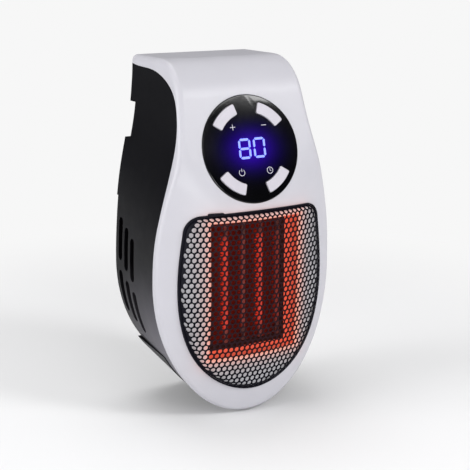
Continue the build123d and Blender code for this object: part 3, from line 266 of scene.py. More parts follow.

# ---- casing: black plastic with a painted sheen that turns it greyer towards its lower front

casingSheen = {
    "top": 55.0, "bottom": 150.0, "back": 10.0, "front": -50.0, "grain": 60, "grainShare": 0.04,
    "stops": [(0.05, (0.003, 0.003, 0.0042)), (0.75, (0.13, 0.125, 0.145))],
}
casingBlack = surface("casingBlack", (0.006, 0.006, 0.008), 0.42, specular=0.06, grain=1400, bump=0.05,
                      tint=0.1)
tree = casingBlack.node_tree
x, y, z = objectAxes(tree)
# painted reflection: the base colour lightens low down and towards the front, and the noise adds random tone
lower = ranged(tree, z, -casingSheen["top"] * mm, -casingSheen["bottom"] * mm, smooth=True)
forward = ranged(tree, y, casingSheen["back"] * mm, casingSheen["front"] * mm)
sheenAndGrain = calc(tree, "MULTIPLY_ADD", noiseOf(tree, casingSheen["grain"]), casingSheen["grainShare"],
            product(tree, lower, forward))
tree.links.new(rampOf(tree, sheenAndGrain, casingSheen["stops"]), tree.nodes["Principled BSDF"].inputs["Base Color"])

# ---- plain finishes: colour, roughness, then what differs from the usual

plateBlack = surface("plateBlack", (0.008, 0.008, 0.01), 0.5, specular=0.2, grain=1800, bump=0.09, tint=0.1)
heaterBlack = surface("heaterBlack", (0.012, 0.004, 0.003), 0.6, specular=0.2, grain=1200, bump=0.1, tint=0.2)
fanBlack = surface("fanBlack", (0.02, 0.02, 0.022), 0.45, bump=0.04, tint=0.1)
motorSteel = surface("motorSteel", (0.5, 0.5, 0.52), 0.32, metal=1.0, grain=2200, bump=0.04,
                     stretch=(1, 0.05, 1))
buttonGrey = surface("buttonGrey", (0.44, 0.42, 0.47), 0.42, bump=0.03, tint=0.03)
boardGreen = surface("boardGreen", (0.02, 0.16, 0.06), 0.35, grain=500, bump=0.05, tint=0.25)
partBlack = surface("partBlack", (0.02, 0.02, 0.022), 0.5, grain=1500, bump=0.06, tint=0.1)
displayBlack = surface("displayBlack", (0.015, 0.015, 0.02), 0.15, grain=600, bump=0.01, tint=0.1)
relayBlue = surface("relayBlue", (0.03, 0.12, 0.38), 0.4, bump=0.04)
filmYellow = surface("filmYellow", (0.62, 0.38, 0.05), 0.3, grain=300, bump=0.08)
sleeveDark = surface("sleeveDark", (0.02, 0.02, 0.045), 0.25, grain=600, bump=0.03)
terminalGreen = surface("terminalGreen", (0.03, 0.28, 0.1), 0.45, bump=0.04)
plugBlack = surface("plugBlack", (0.016, 0.016, 0.018), 0.46, specular=0.35, grain=1600, bump=0.08, tint=0.1)
brass = surface("brass", (0.68, 0.47, 0.2), 0.28, metal=1.0, grain=1800, bump=0.03, stretch=(1, 0.1, 1))
bladeMetal = surface("bladeMetal", (0.72, 0.66, 0.52), 0.24, metal=1.0, grain=2200, bump=0.04,
                     stretch=(1, 0.06, 1))
rockerBlack = surface("rockerBlack", (0.012, 0.012, 0.012), 0.2, grain=700, tint=0.1)
cutoutMetal = surface("cutoutMetal", (0.6, 0.6, 0.6), 0.35, metal=1.0, grain=1500, bump=0.05)
fuseWhite = surface("fuseWhite", (0.66, 0.64, 0.58), 0.5, grain=700, bump=0.05)
screwSteel = surface("screwSteel", (0.45, 0.45, 0.47), 0.33, metal=1.0, grain=2500, bump=0.05)
leadWhite = surface("leadWhite", (0.62, 0.62, 0.6), 0.5, grain=1200, bump=0.05)
leadBlack = surface("leadBlack", (0.02, 0.02, 0.02), 0.5, grain=1200, bump=0.05)
leadRed = surface("leadRed", (0.42, 0.02, 0.02), 0.45, grain=1200, bump=0.05)
markWhite = surface("markWhite", (0.42, 0.41, 0.47), 0.5, bump=0.0)

# ---- heating bars and fins: bars glow in the middle of their height, fins beside the strong bars

bars = {
    "colour": (1.0, 0.05, 0.022), "strong": 0.5, "weak": 0.13, "fade": 27.0, "edge": 6.0, "endShare": 0.12,
    "blotchGrain": 420, "blotchDetail": 2.0, "blotchGain": 1.4, "blotchLeast": 0.3, "strongX": 10.3,
}
finGlow = {
    "colour": (0.75, 0.035, 0.012), "strength": 0.065, "near": 0.2, "spread": 1.4,
    "patchGrain": 180, "patchGain": 1.2, "patchLeast": 0.4,
}


def barMaterial(name, strength):
    mat = surface(name, (0.05, 0.02, 0.015), 0.6, grain=1500, bump=0.1, tint=0.2)
    tree = mat.node_tree
    x, y, z = objectAxes(tree)
    fromCentre = calc(tree, "ABSOLUTE", calc(tree, "ADD", z, glow["windowDrop"] * mm))
    fade = ranged(tree, fromCentre, (bars["fade"] - bars["edge"]) * mm, bars["fade"] * mm,
                  1.0, bars["endShare"], smooth=True)
    blotch = calc(tree, "MULTIPLY_ADD", noiseOf(tree, bars["blotchGrain"], bars["blotchDetail"]),
                  bars["blotchGain"], bars["blotchLeast"])
    addGlow(mat, bars["colour"], product(tree, fade, blotch, strength))
    return mat


barStrong = barMaterial("barStrong", bars["strong"])
barWeak = barMaterial("barWeak", bars["weak"])

# the fins' dark red base colour is painted light of the glowing bars, in place of the aluminium's grey
finMetal = surface("finMetal", (0.06, 0.014, 0.01), 0.55, metal=0.2, grain=1800, bump=0.08, tint=0.3)
tree = finMetal.node_tree
x, y, z = objectAxes(tree)
nearBars = [fallOff(tree, calc(tree, "ABSOLUTE", calc(tree, "SUBTRACT", x, barX * mm)), finGlow["spread"])
            for barX in (-bars["strongX"], bars["strongX"])]
patchy = calc(tree, "MULTIPLY_ADD", noiseOf(tree, finGlow["patchGrain"]), finGlow["patchGain"],
              finGlow["patchLeast"])
addGlow(finMetal, finGlow["colour"], calc(tree, "MULTIPLY", patchy, calc(
    tree, "MULTIPLY_ADD", calc(tree, "ADD", *nearBars), finGlow["near"], finGlow["strength"])))

# ---- control disc: its plane, its gloss and the glow round the digits

panel = {
    "depth": 61.1, "drop": 10.2, "tilt": 16.3, "glowWide": 10.5, "glowHigh": 7.6, "glowFall": 0.9,
    "glowColour": (0.05, 0.001, 0.72), "glowStrength": 0.58, "markRise": 0.04, "markThickness": 0.03,
}
tilt = math.radians(panel["tilt"])
panelAcross = Vector((1, 0, 0))
panelUp = Vector((0, math.sin(tilt), math.cos(tilt)))
panelOut = Vector((0, -math.cos(tilt), math.sin(tilt)))
panelCentre = Vector((0, -panel["depth"], -panel["drop"])) * mm


def onPanel(u, v, rise=0.0):
    return panelCentre + panelAcross * (u * mm) + panelUp * (v * mm) + panelOut * (rise * mm)


panelBlack = surface("panelBlack", (0.0005, 0.0005, 0.001), 0.09, specular=0.28, grain=500, bump=0.006,
                     tint=0.1)
tree = panelBlack.node_tree
x, y, z = objectAxes(tree)
upShare = calc(tree, "MULTIPLY", calc(tree, "ADD", z, panel["drop"] * mm),
               1 / (math.cos(tilt) * panel["glowHigh"] * mm))
acrossShare = calc(tree, "MULTIPLY", x, 1 / (panel["glowWide"] * mm))
fading = calc(tree, "EXPONENT", product(tree, squares(tree, upShare, acrossShare), -panel["glowFall"]))
addGlow(panelBlack, panel["glowColour"], product(tree, fading, panel["glowStrength"]))
print("finishes made")


# ---- pieces that keep the solid's shape: welded copies with smooth curves

welding = {"solids": 2e-6, "sheets": 1e-6, "smoothAngle": 32}


def smoothByAngle(mesh, angle):
    bm = bmesh.new()
    bm.from_mesh(mesh)
    for face in bm.faces:
        face.smooth = True
    for edge in bm.edges:
        edge.smooth = len(edge.link_faces) == 2 and edge.calc_face_angle(0) < math.radians(angle)
    bm.to_mesh(mesh)
    bm.free()


def turnOutwards(mesh):
    bm = bmesh.new()
    bm.from_mesh(mesh)
    bmesh.ops.recalc_face_normals(bm, faces=bm.faces)
    bm.to_mesh(mesh)
    bm.free()


def place(name, mesh):
    piece = bpy.data.objects.new(name, mesh)
    bpy.context.scene.collection.objects.link(piece)
    return piece


def evenShading(piece):
    # flat faces keep flat shading beside their rounded edges
    piece.modifiers.new("evenShading", "WEIGHTED_NORMAL").keep_sharp = True
    shaped = bpy.data.meshes.new_from_object(piece.evaluated_get(bpy.context.evaluated_depsgraph_get()))
    piece.modifiers.clear()
    piece.data = shaped


def dress(node, material):
    source = nodes[node]
    mesh = source.data.copy()
    mesh.materials.clear()
    mesh.materials.append(material)
    bm = bmesh.new()
    bm.from_mesh(mesh)
    bmesh.ops.remove_doubles(bm, verts=bm.verts, dist=welding["solids"])
    bm.to_mesh(mesh)
    bm.free()
    for polygon in mesh.polygons:
        polygon.material_index = 0
    smoothByAngle(mesh, welding["smoothAngle"])
    words = node.split("_")
    piece = place(words[0] + "".join(word.capitalize() for word in words[1:]), mesh)
    evenShading(piece)
    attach(piece, source["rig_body"])
    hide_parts(node)


finishes = {
    "front_cover": coverWhite, "rear_casing": casingBlack, "bottom_plate": plateBlack,
    "grille_frame": grilleMetal, "air_duct": ductPaintedGlow, "heater_frame": heaterBlack,
    "ptc_bar_1": barWeak, "ptc_bar_2": barStrong, "ptc_bar_3": barWeak, "ptc_bar_4": barStrong,
    "ptc_bar_5": barWeak, "fan_shroud": fanBlack, "fan_rotor": fanBlack, "fan_motor": motorSteel,
    "motor_shaft": motorSteel, "control_panel": panelBlack, "temp_down_button": buttonGrey,
    "temp_up_button": buttonGrey, "power_button": buttonGrey, "timer_button": buttonGrey,
    "control_board": boardGreen, "tact_switches": partBlack, "led_display": displayBlack,
    "ir_receiver": partBlack, "buzzer": partBlack, "power_board": boardGreen, "relay": relayBlue,
    "filter_capacitor": filmYellow, "smoothing_capacitor": sleeveDark, "terminal_block": terminalGreen,
    "plug_disc": plugBlack, "plug_retainer": plugBlack, "line_blade": bladeMetal,
    "neutral_blade": bladeMetal, "line_slip_ring": brass, "neutral_slip_ring": brass,
    "line_spring": brass, "neutral_spring": brass, "contact_carrier": partBlack,
    "switch_body": plateBlack, "switch_rocker": rockerBlack, "thermal_cutout": cutoutMetal,
    "thermal_fuse": fuseWhite, "heater_leads": leadWhite, "mains_leads": leadBlack,
    "motor_leads": leadRed, "switch_leads": leadBlack, "casing_screws": screwSteel,
    "duct_screws": screwSteel, "power_board_screws": screwSteel, "control_board_screws": screwSteel,
    "bottom_plate_screws": screwSteel, "contact_carrier_screws": screwSteel,
}
for node, material in finishes.items():
    dress(node, material)
print("welded pieces:", len(finishes))


# ---- geometry nodes helpers

def newTree(name, inputs):
    tree = bpy.data.node_groups.new(name, "GeometryNodeTree")
    tree.interface.new_socket("Geometry", in_out="INPUT", socket_type="NodeSocketGeometry")
    for label, kind, value in inputs:
        socket = tree.interface.new_socket(label, in_out="INPUT", socket_type=kind)
        if value is not None:
            socket.default_value = value
    tree.interface.new_socket("Geometry", in_out="OUTPUT", socket_type="NodeSocketGeometry")
    return tree, tree.nodes.new("NodeGroupInput").outputs, tree.nodes.new("NodeGroupOutput")


def vectorCalc(tree, operation, *values):
    return add(tree, "ShaderNodeVectorMath", dict(enumerate(values)), operation=operation).outputs[0]


def join(tree, *parts):
    joined = add(tree, "GeometryNodeJoinGeometry")
    for part in parts:
        tree.links.new(part, joined.inputs[0])
    return joined.outputs[0]


def thicken(tree, sheet, thickness):
    # the flat sheet, its raised copy and the walls between them, as one closed skin
    raised = add(tree, "GeometryNodeExtrudeMesh", {
        "Mesh": sheet, "Offset": (0, 0, 1), "Offset Scale": thickness, "Individual": False})
    turned = add(tree, "GeometryNodeFlipFaces", {"Mesh": sheet})
    return add(tree, "GeometryNodeMergeByDistance", {
        "Geometry": join(tree, raised.outputs[0], turned.outputs[0]), "Distance": welding["sheets"],
    }).outputs[0]


def endTree(tree, result, geometry, material):
    real = add(tree, "GeometryNodeRealizeInstances", {"Geometry": geometry})
    coated = add(tree, "GeometryNodeSetMaterial", {"Geometry": real.outputs[0], "Material": material})
    tree.links.new(coated.outputs[0], result.inputs[0])


def runTree(name, mesh, tree, values):
    # evaluates the tree on a mesh and gives the result as a plain mesh object
    carrier = place(name + "Carrier", mesh)
    modifier = carrier.modifiers.new("nodes", "NODES")
    modifier.node_group = tree
    for item in tree.interface.items_tree:
        if item.in_out == "INPUT" and item.name in values:
            modifier[item.identifier] = values[item.name]
    bpy.context.view_layer.update()
    depsgraph = bpy.context.evaluated_depsgraph_get()
    made = bpy.data.meshes.new_from_object(carrier.evaluated_get(depsgraph))
    carrier.modifiers.remove(modifier)
    bpy.data.objects.remove(carrier)
    turnOutwards(made)
    return place(name, made)


# ---- perforated grille: round holes in staggered rows, bent to the belly of the face

grille = {
    "pitch": 2.93, "holeRadius": 1.2, "margin": 0.3, "sides": 12, "rows": 41, "columns": 33, "topRow": 41.4,
    "thickness": 0.6, "bend": 3.0, "trim": 0.998, "centreZ": -87.0, "faceRadius": 107.2, "faceDepth": 72.5,
    "bellyRadius": 303.2, "bellyDrop": 75.0, "probe": 1.0, "smoothAngle": 25,
}
outline = [Vector((v.co.x, v.co.z)) for v in nodes["grille"].data.vertices]
hull = [outline[i] for i in convex_hull_2d(outline)]
# the sheet is laid out flat first, wider by what its rounded edge takes up
spread = grille["bend"] * (math.pi / 2 - 1) * mm
rim = []
for i, point in enumerate(hull):
    along = (hull[(i + 1) % len(hull)] - hull[i - 1]).normalized()
    rim.append(point + Vector((along.y, -along.x)) * spread)
rimMesh = bpy.data.meshes.new("grilleRim")
rimMesh.from_pydata([(u, v, 0) for u, v in rim], [(i, (i + 1) % len(rim)) for i in range(len(rim))], [])

tree, given, result = newTree("perforatedSheet", [
    ("Pitch", "NodeSocketFloat", grille["pitch"] * mm),
    ("Hole Radius", "NodeSocketFloat", grille["holeRadius"] * mm),
    ("Margin", "NodeSocketFloat", grille["margin"] * mm),
    ("Thickness", "NodeSocketFloat", grille["thickness"] * mm),
    ("Sides", "NodeSocketInt", grille["sides"]),
    ("Face Radius", "NodeSocketFloat", grille["faceRadius"] * mm),
    ("Face Depth", "NodeSocketFloat", grille["faceDepth"] * mm),
    ("Belly Radius", "NodeSocketFloat", grille["bellyRadius"] * mm),
    ("Belly Drop", "NodeSocketFloat", grille["bellyDrop"] * mm),
    ("Bend", "NodeSocketFloat", grille["bend"] * mm),
    ("Material", "NodeSocketMaterial", None)])
# a rim trimmed by a hair keeps its points off the line that distances are taken from
trimmed = add(tree, "GeometryNodeTransform", {
    "Geometry": given["Geometry"], "Translation": (0, (1 - grille["trim"]) * grille["centreZ"] * mm, 0),
    "Scale": (grille["trim"], grille["trim"], 1)})
rimCurve = add(tree, "GeometryNodeMeshToCurve", {"Mesh": trimmed.outputs[0]})
plain = add(tree, "GeometryNodeFillCurve", {"Curve": rimCurve.outputs[0]})
rowStep = calc(tree, "MULTIPLY", given["Pitch"], math.sqrt(3) / 2)
grid = add(tree, "GeometryNodeMeshGrid", {
    "Size X": calc(tree, "MULTIPLY", given["Pitch"], grille["columns"] - 1.0),
    "Size Y": calc(tree, "MULTIPLY", rowStep, grille["rows"] - 1.0),
    "Vertices X": grille["columns"], "Vertices Y": grille["rows"]})
index = add(tree, "GeometryNodeInputIndex").outputs[0]
row = calc(tree, "MODULO", index, float(grille["rows"]))
stagger = calc(tree, "MULTIPLY", calc(tree, "MODULO", row, 2.0), calc(tree, "MULTIPLY", given["Pitch"], 0.5))
middleRow = calc(tree, "MULTIPLY_ADD", rowStep, -(grille["rows"] - 1) / 2, -grille["topRow"] * mm)
shift = add(tree, "ShaderNodeCombineXYZ", {"X": stagger, "Y": middleRow})
laid = add(tree, "GeometryNodeSetPosition", {"Geometry": grid.outputs[0], "Offset": shift.outputs[0]})
# holes too near the rim or outside it are left out
nearest = add(tree, "GeometryNodeProximity", {0: given["Geometry"]}, target_element="EDGES")
tooNear = calc(tree, "LESS_THAN", nearest.outputs["Distance"],
               calc(tree, "ADD", given["Margin"], given["Hole Radius"]))
spot = add(tree, "GeometryNodeInputPosition").outputs[0]
hit = add(tree, "GeometryNodeRaycast", {
    "Target Geometry": plain.outputs[0],
    "Source Position": vectorCalc(tree, "ADD", spot, (0, 0, grille["probe"])),
    "Ray Direction": (0, 0, -1), "Ray Length": 2 * grille["probe"]})
outside = calc(tree, "SUBTRACT", 1.0, hit.outputs["Is Hit"])
kept = add(tree, "GeometryNodeDeleteGeometry", {
    "Geometry": laid.outputs[0], "Selection": calc(tree, "MAXIMUM", tooNear, outside)})
circle = add(tree, "GeometryNodeCurvePrimitiveCircle", {
    "Resolution": given["Sides"], "Radius": given["Hole Radius"]})
holes = add(tree, "GeometryNodeInstanceOnPoints", {
    "Points": kept.outputs[0], "Instance": circle.outputs[0], "Rotation": (0, 0, math.pi / grille["sides"])})
allHoles = add(tree, "GeometryNodeRealizeInstances", {"Geometry": holes.outputs[0]})
sheet = add(tree, "GeometryNodeFillCurve", {"Curve": join(tree, allHoles.outputs[0], rimCurve.outputs[0])})
skin = thicken(tree, sheet.outputs[0], given["Thickness"])
# the edge rolls backwards over a quarter turn
height = add(tree, "ShaderNodeSeparateXYZ", {0: spot}).outputs[2]
ground = vectorCalc(tree, "MULTIPLY", spot, (1, 1, 0))
toRim = add(tree, "GeometryNodeProximity", {0: given["Geometry"], "Sample Position": ground},
            target_element="EDGES")
turnedBy = calc(tree, "MINIMUM", calc(tree, "DIVIDE", toRim.outputs["Distance"], given["Bend"]), math.pi / 2)
reach = calc(tree, "SUBTRACT", given["Bend"], calc(tree, "SUBTRACT", given["Thickness"], height))
taken = calc(tree, "MULTIPLY", given["Bend"], calc(tree, "SUBTRACT", math.pi / 2, turnedBy))
inward = calc(tree, "SUBTRACT", taken, calc(tree, "MULTIPLY", reach, calc(tree, "COSINE", turnedBy)))
fromRim = vectorCalc(tree, "SUBTRACT", ground, toRim.outputs["Position"])
moved = add(tree, "ShaderNodeVectorMath", {0: vectorCalc(tree, "NORMALIZE", fromRim), "Scale": inward},
            operation="SCALE")
settled = vectorCalc(tree, "ADD", spot, moved.outputs[0])
across, upward, _ = add(tree, "ShaderNodeSeparateXYZ", {0: settled}).outputs
liftedBy = calc(tree, "SUBTRACT", calc(tree, "MULTIPLY", reach, calc(tree, "SINE", turnedBy)), given["Bend"])
# then the sheet follows the face's radius across and the belly's radius downwards
radius = calc(tree, "ADD", given["Face Radius"], liftedBy)
chord = calc(tree, "SQRT", calc(tree, "SUBTRACT", calc(tree, "MULTIPLY", radius, radius),
                                calc(tree, "MULTIPLY", across, across)))
sideways = calc(tree, "SUBTRACT", calc(tree, "SUBTRACT", given["Face Radius"], given["Face Depth"]), chord)
swingCentre = calc(tree, "SUBTRACT", given["Belly Radius"], given["Face Depth"])
swing = calc(tree, "SUBTRACT", swingCentre, sideways)
below = calc(tree, "MINIMUM", calc(tree, "ADD", upward, given["Belly Drop"]), 0.0)
swung = calc(tree, "SQRT", calc(tree, "SUBTRACT", calc(tree, "MULTIPLY", swing, swing),
                                calc(tree, "MULTIPLY", below, below)))
bentTo = add(tree, "ShaderNodeCombineXYZ", {
    "X": across, "Y": calc(tree, "SUBTRACT", swingCentre, swung), "Z": upward})
bent = add(tree, "GeometryNodeSetPosition", {"Geometry": skin, "Position": bentTo.outputs[0]})
endTree(tree, result, bent.outputs[0], given["Material"])

grillePiece = runTree("perforatedGrille", rimMesh, tree, {"Material": grilleMetal})
smoothByAngle(grillePiece.data, grille["smoothAngle"])
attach(grillePiece, "casing")
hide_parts("grille")
print("grille faces:", len(grillePiece.data.polygons))

# ---- folded fins between the bars

fins = {
    "folds": 84, "halfWidth": 3.8, "height": 62.8, "front": 53.5, "back": 40.3, "thickness": 0.16,
    "count": 4, "pitch": 10.3,
}
tree, given, result = newTree("foldedStrip", [
    ("Folds", "NodeSocketInt", fins["folds"]),
    ("Half Width", "NodeSocketFloat", fins["halfWidth"] * mm),
    ("Height", "NodeSocketFloat", fins["height"] * mm),
    ("Front", "NodeSocketFloat", fins["front"] * mm),
    ("Back", "NodeSocketFloat", fins["back"] * mm),
    ("Thickness", "NodeSocketFloat", fins["thickness"] * mm),
    ("Centre X", "NodeSocketFloat", 0.0),
    ("Centre Z", "NodeSocketFloat", -glow["windowDrop"] * mm),
    ("Material", "NodeSocketMaterial", None)])
perSide = calc(tree, "ADD", given["Folds"], 1.0)
strip = add(tree, "GeometryNodeMeshGrid", {"Vertices X": 2, "Vertices Y": perSide})
index = add(tree, "GeometryNodeInputIndex").outputs[0]
turn = calc(tree, "MODULO", index, perSide)
side = calc(tree, "SUBTRACT", calc(tree, "MULTIPLY", calc(tree, "MODULO", turn, 2.0), 2.0), 1.0)
layer = calc(tree, "FLOOR", calc(tree, "DIVIDE", index, perSide))
stripX = calc(tree, "MULTIPLY_ADD", side, given["Half Width"], given["Centre X"])
depth = calc(tree, "MULTIPLY_ADD", layer, calc(tree, "SUBTRACT", given["Back"], given["Front"]),
             given["Front"])
drop = calc(tree, "SUBTRACT", calc(tree, "DIVIDE", turn, given["Folds"]), 0.5)
stripZ = calc(tree, "SUBTRACT", given["Centre Z"], calc(tree, "MULTIPLY", drop, given["Height"]))
target = add(tree, "ShaderNodeCombineXYZ", {
    "X": stripX, "Y": calc(tree, "MULTIPLY", depth, -1.0), "Z": stripZ})
folded = add(tree, "GeometryNodeSetPosition", {"Geometry": strip.outputs[0], "Position": target.outputs[0]})
endTree(tree, result, thicken(tree, folded.outputs[0], given["Thickness"]), given["Material"])
for number in range(fins["count"]):
    centreX = (number - (fins["count"] - 1) / 2) * fins["pitch"] * mm
    finPiece = runTree(f"finStrip{number + 1}", bpy.data.meshes.new("stripStart"), tree,
                       {"Centre X": centreX, "Material": finMetal})
    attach(finPiece, "casing")
    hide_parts(f"fin_strip_{number + 1}")
print("fins made:", fins["count"])


# ---- digits and symbols on the disc

def flatPiece(name, polygons, material):
    # thin printed shapes, each a closed outline in the disc's own millimetres
    bm = bmesh.new()
    for points in polygons:
        top = [bm.verts.new(onPanel(u, v, panel["markRise"])) for u, v in points]
        bottom = [bm.verts.new(onPanel(u, v, panel["markRise"] - panel["markThickness"])) for u, v in points]
        bm.faces.new(top)
        bm.faces.new(reversed(bottom))
        for i in range(len(points)):
            j = (i + 1) % len(points)
            bm.faces.new((top[j], top[i], bottom[i], bottom[j]))
    bmesh.ops.recalc_face_normals(bm, faces=bm.faces)
    bmesh.ops.triangulate(bm, faces=bm.faces)
    mesh = bpy.data.meshes.new(name)
    bm.to_mesh(mesh)
    bm.free()
    mesh.materials.append(material)
    piece = place(name, mesh)
    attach(piece, "casing")


digits = {
    "width": 6.9, "height": 10.2, "stroke": 1.15, "gap": 0.24, "pitch": 8.4, "slant": 2.0, "rise": 0.2,
    "shift": 0.5, "glowColour": (0.23, 0.29, 1.0), "glowGrain": 900, "glowGain": 0.3, "glowLeast": 0.7,
}
digitBlue = surface("digitBlue", (0.1, 0.15, 0.8), 0.4, bump=0.0)
addGlow(digitBlue, digits["glowColour"], calc(
    digitBlue.node_tree, "MULTIPLY_ADD", noiseOf(digitBlue.node_tree, digits["glowGrain"]),
    digits["glowGain"], digits["glowLeast"]))


def segment(start, end):
    # a bar with pointed ends
    a, b = Vector(start), Vector(end)
    along = (b - a).normalized()
    across = Vector((-along.y, along.x))
    half = digits["stroke"] / 2
    a += along * digits["gap"]
    b -= along * digits["gap"]
    return [a, a + along * half + across * half, b - along * half + across * half, b,
            b - along * half - across * half, a + along * half - across * half]


def digit(number, centre):
    lit = {0: "abcdef", 8: "abcdefg"}[number]
    w, h = digits["width"] / 2 - digits["stroke"] / 2, digits["height"] / 2 - digits["stroke"] / 2
    ends = {"a": ((-w, h), (w, h)), "b": ((w, h), (w, 0)), "c": ((w, 0), (w, -h)), "d": ((-w, -h), (w, -h)),
            "e": ((-w, 0), (-w, -h)), "f": ((-w, h), (-w, 0)), "g": ((-w, 0), (w, 0))}
    lean = math.tan(math.radians(digits["slant"]))
    return [[(p.x + p.y * lean + centre, p.y + digits["rise"]) for p in segment(*ends[name])] for name in lit]


flatPiece("displayDigits", digit(8, digits["shift"] - digits["pitch"] / 2)
          + digit(0, digits["shift"] + digits["pitch"] / 2), digitBlue)


def arc(centreU, centreV, radius, startAngle, endAngle, stroke, steps):
    outer, inner = [], []
    for i in range(steps + 1):
        angle = math.radians(startAngle + (endAngle - startAngle) * i / steps)
        for ring, size in ((outer, radius + stroke / 2), (inner, radius - stroke / 2)):
            ring.append((centreU + size * math.cos(angle), centreV + size * math.sin(angle)))
    return [[outer[i], outer[i + 1], inner[i + 1], inner[i]] for i in range(steps)]


def line(u0, v0, u1, v1, stroke):
    a, b = Vector((u0, v0)), Vector((u1, v1))
    across = Vector((-(b - a).y, (b - a).x)).normalized() * stroke / 2
    return [[tuple(a - across), tuple(b - across), tuple(b + across), tuple(a + across)]]


# each symbol: place across, place up, radius; the rest in shares of the radius and in degrees
symbols = {
    "stroke": 0.34, "power": (-7.2, -11.4, 1.55), "plus": (-8.9, 11.2, 1.45), "minus": (8.9, 11.2, 1.45),
    "clock": (8.9, -11.6, 1.6), "powerArc": (125, 415), "powerStem": (0.25, 1.3), "arcSteps": 24,
    "minuteHand": 0.62, "hourHand": (0.45, -0.25), "clockSteps": 32,
}
stroke = symbols["stroke"]
u, v, r = symbols["power"]
low, high = symbols["powerStem"]
marks = arc(u, v, r, *symbols["powerArc"], stroke, symbols["arcSteps"])
marks += line(u, v + r * low, u, v + r * high, stroke)
u, v, r = symbols["plus"]
marks += line(u - r, v, u + r, v, stroke)
marks += line(u, v - r, u, v - stroke / 2, stroke) + line(u, v + stroke / 2, u, v + r, stroke)
u, v, r = symbols["minus"]
marks += line(u - r, v, u + r, v, stroke)
u, v, r = symbols["clock"]
handU, handV = symbols["hourHand"]
marks += arc(u, v, r, 0, 360, stroke, symbols["clockSteps"])
marks += line(u, v, u, v + r * symbols["minuteHand"], stroke)
marks += line(u, v, u + r * handU, v + r * handV, stroke)
flatPiece("panelSymbols", marks, markWhite)
print("disc marked")

# ---- catch on the upper edge of the grille's frame

catch = {
    "centre": -23.6, "halfWidth": 3.8, "drop": 39.2, "height": 1.3, "foot": 0.05, "proud": 2.0,
    "faceRadius": 104.0, "faceCentre": 34.7, "steps": 8, "round": 0.3, "roundFrom": 0.8, "roundSteps": 3,
    "smoothAngle": 30,
}


def onFace(across, drop, rise):
    radius = catch["faceRadius"] + rise
    return Vector((across, catch["faceCentre"] - math.sqrt(radius ** 2 - across ** 2), -drop)) * mm


bm = bmesh.new()
lowEdge = catch["drop"] + catch["height"]
corners = [(catch["drop"], catch["foot"]), (catch["drop"], catch["proud"]), (lowEdge, catch["proud"]),
           (lowEdge, catch["foot"])]
rings = []
for i in range(catch["steps"] + 1):
    across = catch["centre"] + catch["halfWidth"] * (2 * i / catch["steps"] - 1)
    rings.append([bm.verts.new(onFace(across, drop, rise)) for drop, rise in corners])
for first, second in zip(rings, rings[1:]):
    for i in range(len(corners)):
        j = (i + 1) % len(corners)
        bm.faces.new((first[i], first[j], second[j], second[i]))
bm.faces.new(rings[0])
bm.faces.new(reversed(rings[-1]))
bmesh.ops.recalc_face_normals(bm, faces=bm.faces)
sharp = [edge for edge in bm.edges if edge.calc_face_angle(0) > catch["roundFrom"]]
bmesh.ops.bevel(bm, geom=sharp, offset=catch["round"] * mm, segments=catch["roundSteps"], affect="EDGES")
catchMesh = bpy.data.meshes.new("grilleCatch")
bm.to_mesh(catchMesh)
bm.free()
catchMesh.materials.append(grilleMetal)
smoothByAngle(catchMesh, catch["smoothAngle"])
catchPiece = place("grilleCatch", catchMesh)
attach(catchPiece, "casing")
print("catch made")

# ---- floor and world, in metres

setting = {
    "floorDrop": 0.1492, "floorHalf": 3.0, "floorColour": (0.755, 0.755, 0.762), "floorRough": 0.9,
    "floorGrain": 3.0, "floorTint": 0.99, "backdrop": 0.93, "shadowReach": 0.37, "shadowCore": 0.35,
    "worldLight": 0.44, "worldGloss": 0.06,
}
half, ground = setting["floorHalf"], -setting["floorDrop"]
floorMesh = bpy.data.meshes.new("studioFloor")
corners = [(-half, -half), (half, -half), (half, half), (-half, half)]
floorMesh.from_pydata([(u, v, ground) for u, v in corners], [], [(0, 1, 2, 3)])
floorMat, tree, shader = newMaterial("studioFloor")
shader.inputs["Roughness"].default_value = setting["floorRough"]
stops = [(grainLook["from"], shade(setting["floorColour"], setting["floorTint"])),
         (grainLook["to"], setting["floorColour"])]
tree.links.new(rampOf(tree, noiseOf(tree, setting["floorGrain"]), stops), shader.inputs["Base Color"])
# away from the part the floor turns into the pale backdrop, for the camera alone
x, y, z = objectAxes(tree)
away = calc(tree, "SQRT", squares(tree, x, y))
fade = ranged(tree, away, setting["shadowReach"] * setting["shadowCore"], setting["shadowReach"], smooth=True)
seen = tree.nodes.new("ShaderNodeLightPath").outputs["Is Camera Ray"]
pale = add(tree, "ShaderNodeEmission", {"Color": (1, 1, 1, 1), "Strength": setting["backdrop"]})
blend = add(tree, "ShaderNodeMixShader", {
    "Fac": calc(tree, "MULTIPLY", fade, seen), 1: shader.outputs[0], 2: pale.outputs[0]})
tree.links.new(blend.outputs[0], tree.nodes["Material Output"].inputs["Surface"])
floorMesh.materials.append(floorMat)
floor = place("studioFloor", floorMesh)
floor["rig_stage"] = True

# the world is pale to the camera, dim in mirrors and plain for all other light
world = bpy.data.worlds.new("studio")
bpy.context.scene.world = world
world.use_nodes = True
tree = world.node_tree
ray = tree.nodes.new("ShaderNodeLightPath").outputs
mirrored = ranged(tree, ray["Is Glossy Ray"], low=setting["worldLight"], high=setting["worldGloss"])
level = ranged(tree, ray["Is Camera Ray"], low=mirrored, high=setting["backdrop"])
background = tree.nodes["Background"]
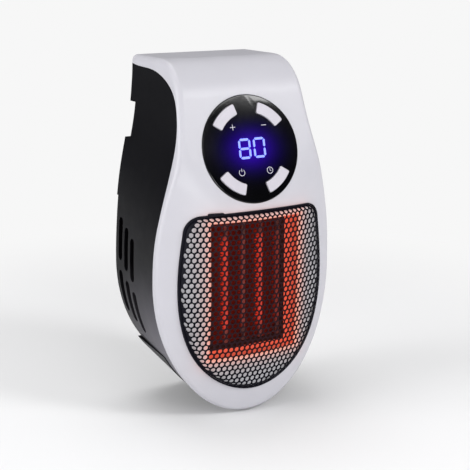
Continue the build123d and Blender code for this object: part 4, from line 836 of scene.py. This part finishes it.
tree.links.new(level, background.inputs["Strength"])
background.inputs["Color"].default_value = (1, 1, 1, 1)

# ---- lamps: place and size in metres, power in watts, and the point they face

middle = (0, -0.04, -0.06)
lamps = {
    "keyLamp": {"place": (-0.1, -1.15, 0.62), "size": 0.7, "power": 2.8, "aim": middle},
    "sideLamp": {"place": (-1.15, 0.12, 0.25), "size": 0.8, "power": 11.2, "aim": middle},
    "topLamp": {"place": (0.0, 0.3, 1.2), "size": 0.9, "power": 6.4, "aim": middle},
    "sheenLamp": {"place": (0.54, -0.9, 0.605), "size": 0.36, "power": 6.2, "aim": onPanel(0, 20)},
    "lowLamp": {"place": (-0.1, -1.0, -0.08), "size": 0.3, "power": 3.7, "aim": middle},
}
for name, values in lamps.items():
    lamp = bpy.data.lights.new(name, "AREA")
    lamp.shape = "DISK"
    lamp.size = values["size"]
    lamp.energy = values["power"]
    holder = place(name, lamp)
    holder.location = values["place"]
    facing = Vector(values["aim"]) - Vector(values["place"])
    holder.rotation_euler = facing.to_track_quat("-Z", "Y").to_euler()
print("lamps placed:", len(lamps))

# ---- camera: angles in degrees, place and lens in millimetres

viewpoint = {
    "azimuth": 30.19, "elevation": 13.74, "place": (-290.3, -544.0, 83.6), "lens": 88.3, "sensor": 36,
    "clip": (0.01, 50),
}
camera = bpy.data.cameras.new("camera")
camera.sensor_width = viewpoint["sensor"]
camera.lens = viewpoint["lens"]
camera.clip_start, camera.clip_end = viewpoint["clip"]
azimuth, elevation = math.radians(viewpoint["azimuth"]), math.radians(viewpoint["elevation"])
look = Vector((math.sin(azimuth) * math.cos(elevation), math.cos(azimuth) * math.cos(elevation),
               -math.sin(elevation)))
right = Vector((math.cos(azimuth), -math.sin(azimuth), 0))
turnMatrix = Matrix((right, right.cross(look), -look)).transposed().to_4x4()
holder = place("camera", camera)
holder.matrix_world = Matrix.Translation(Vector(viewpoint["place"]) * mm) @ turnMatrix
bpy.context.scene.camera = holder
bpy.context.scene.view_settings.view_transform = "Standard"

low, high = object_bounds()
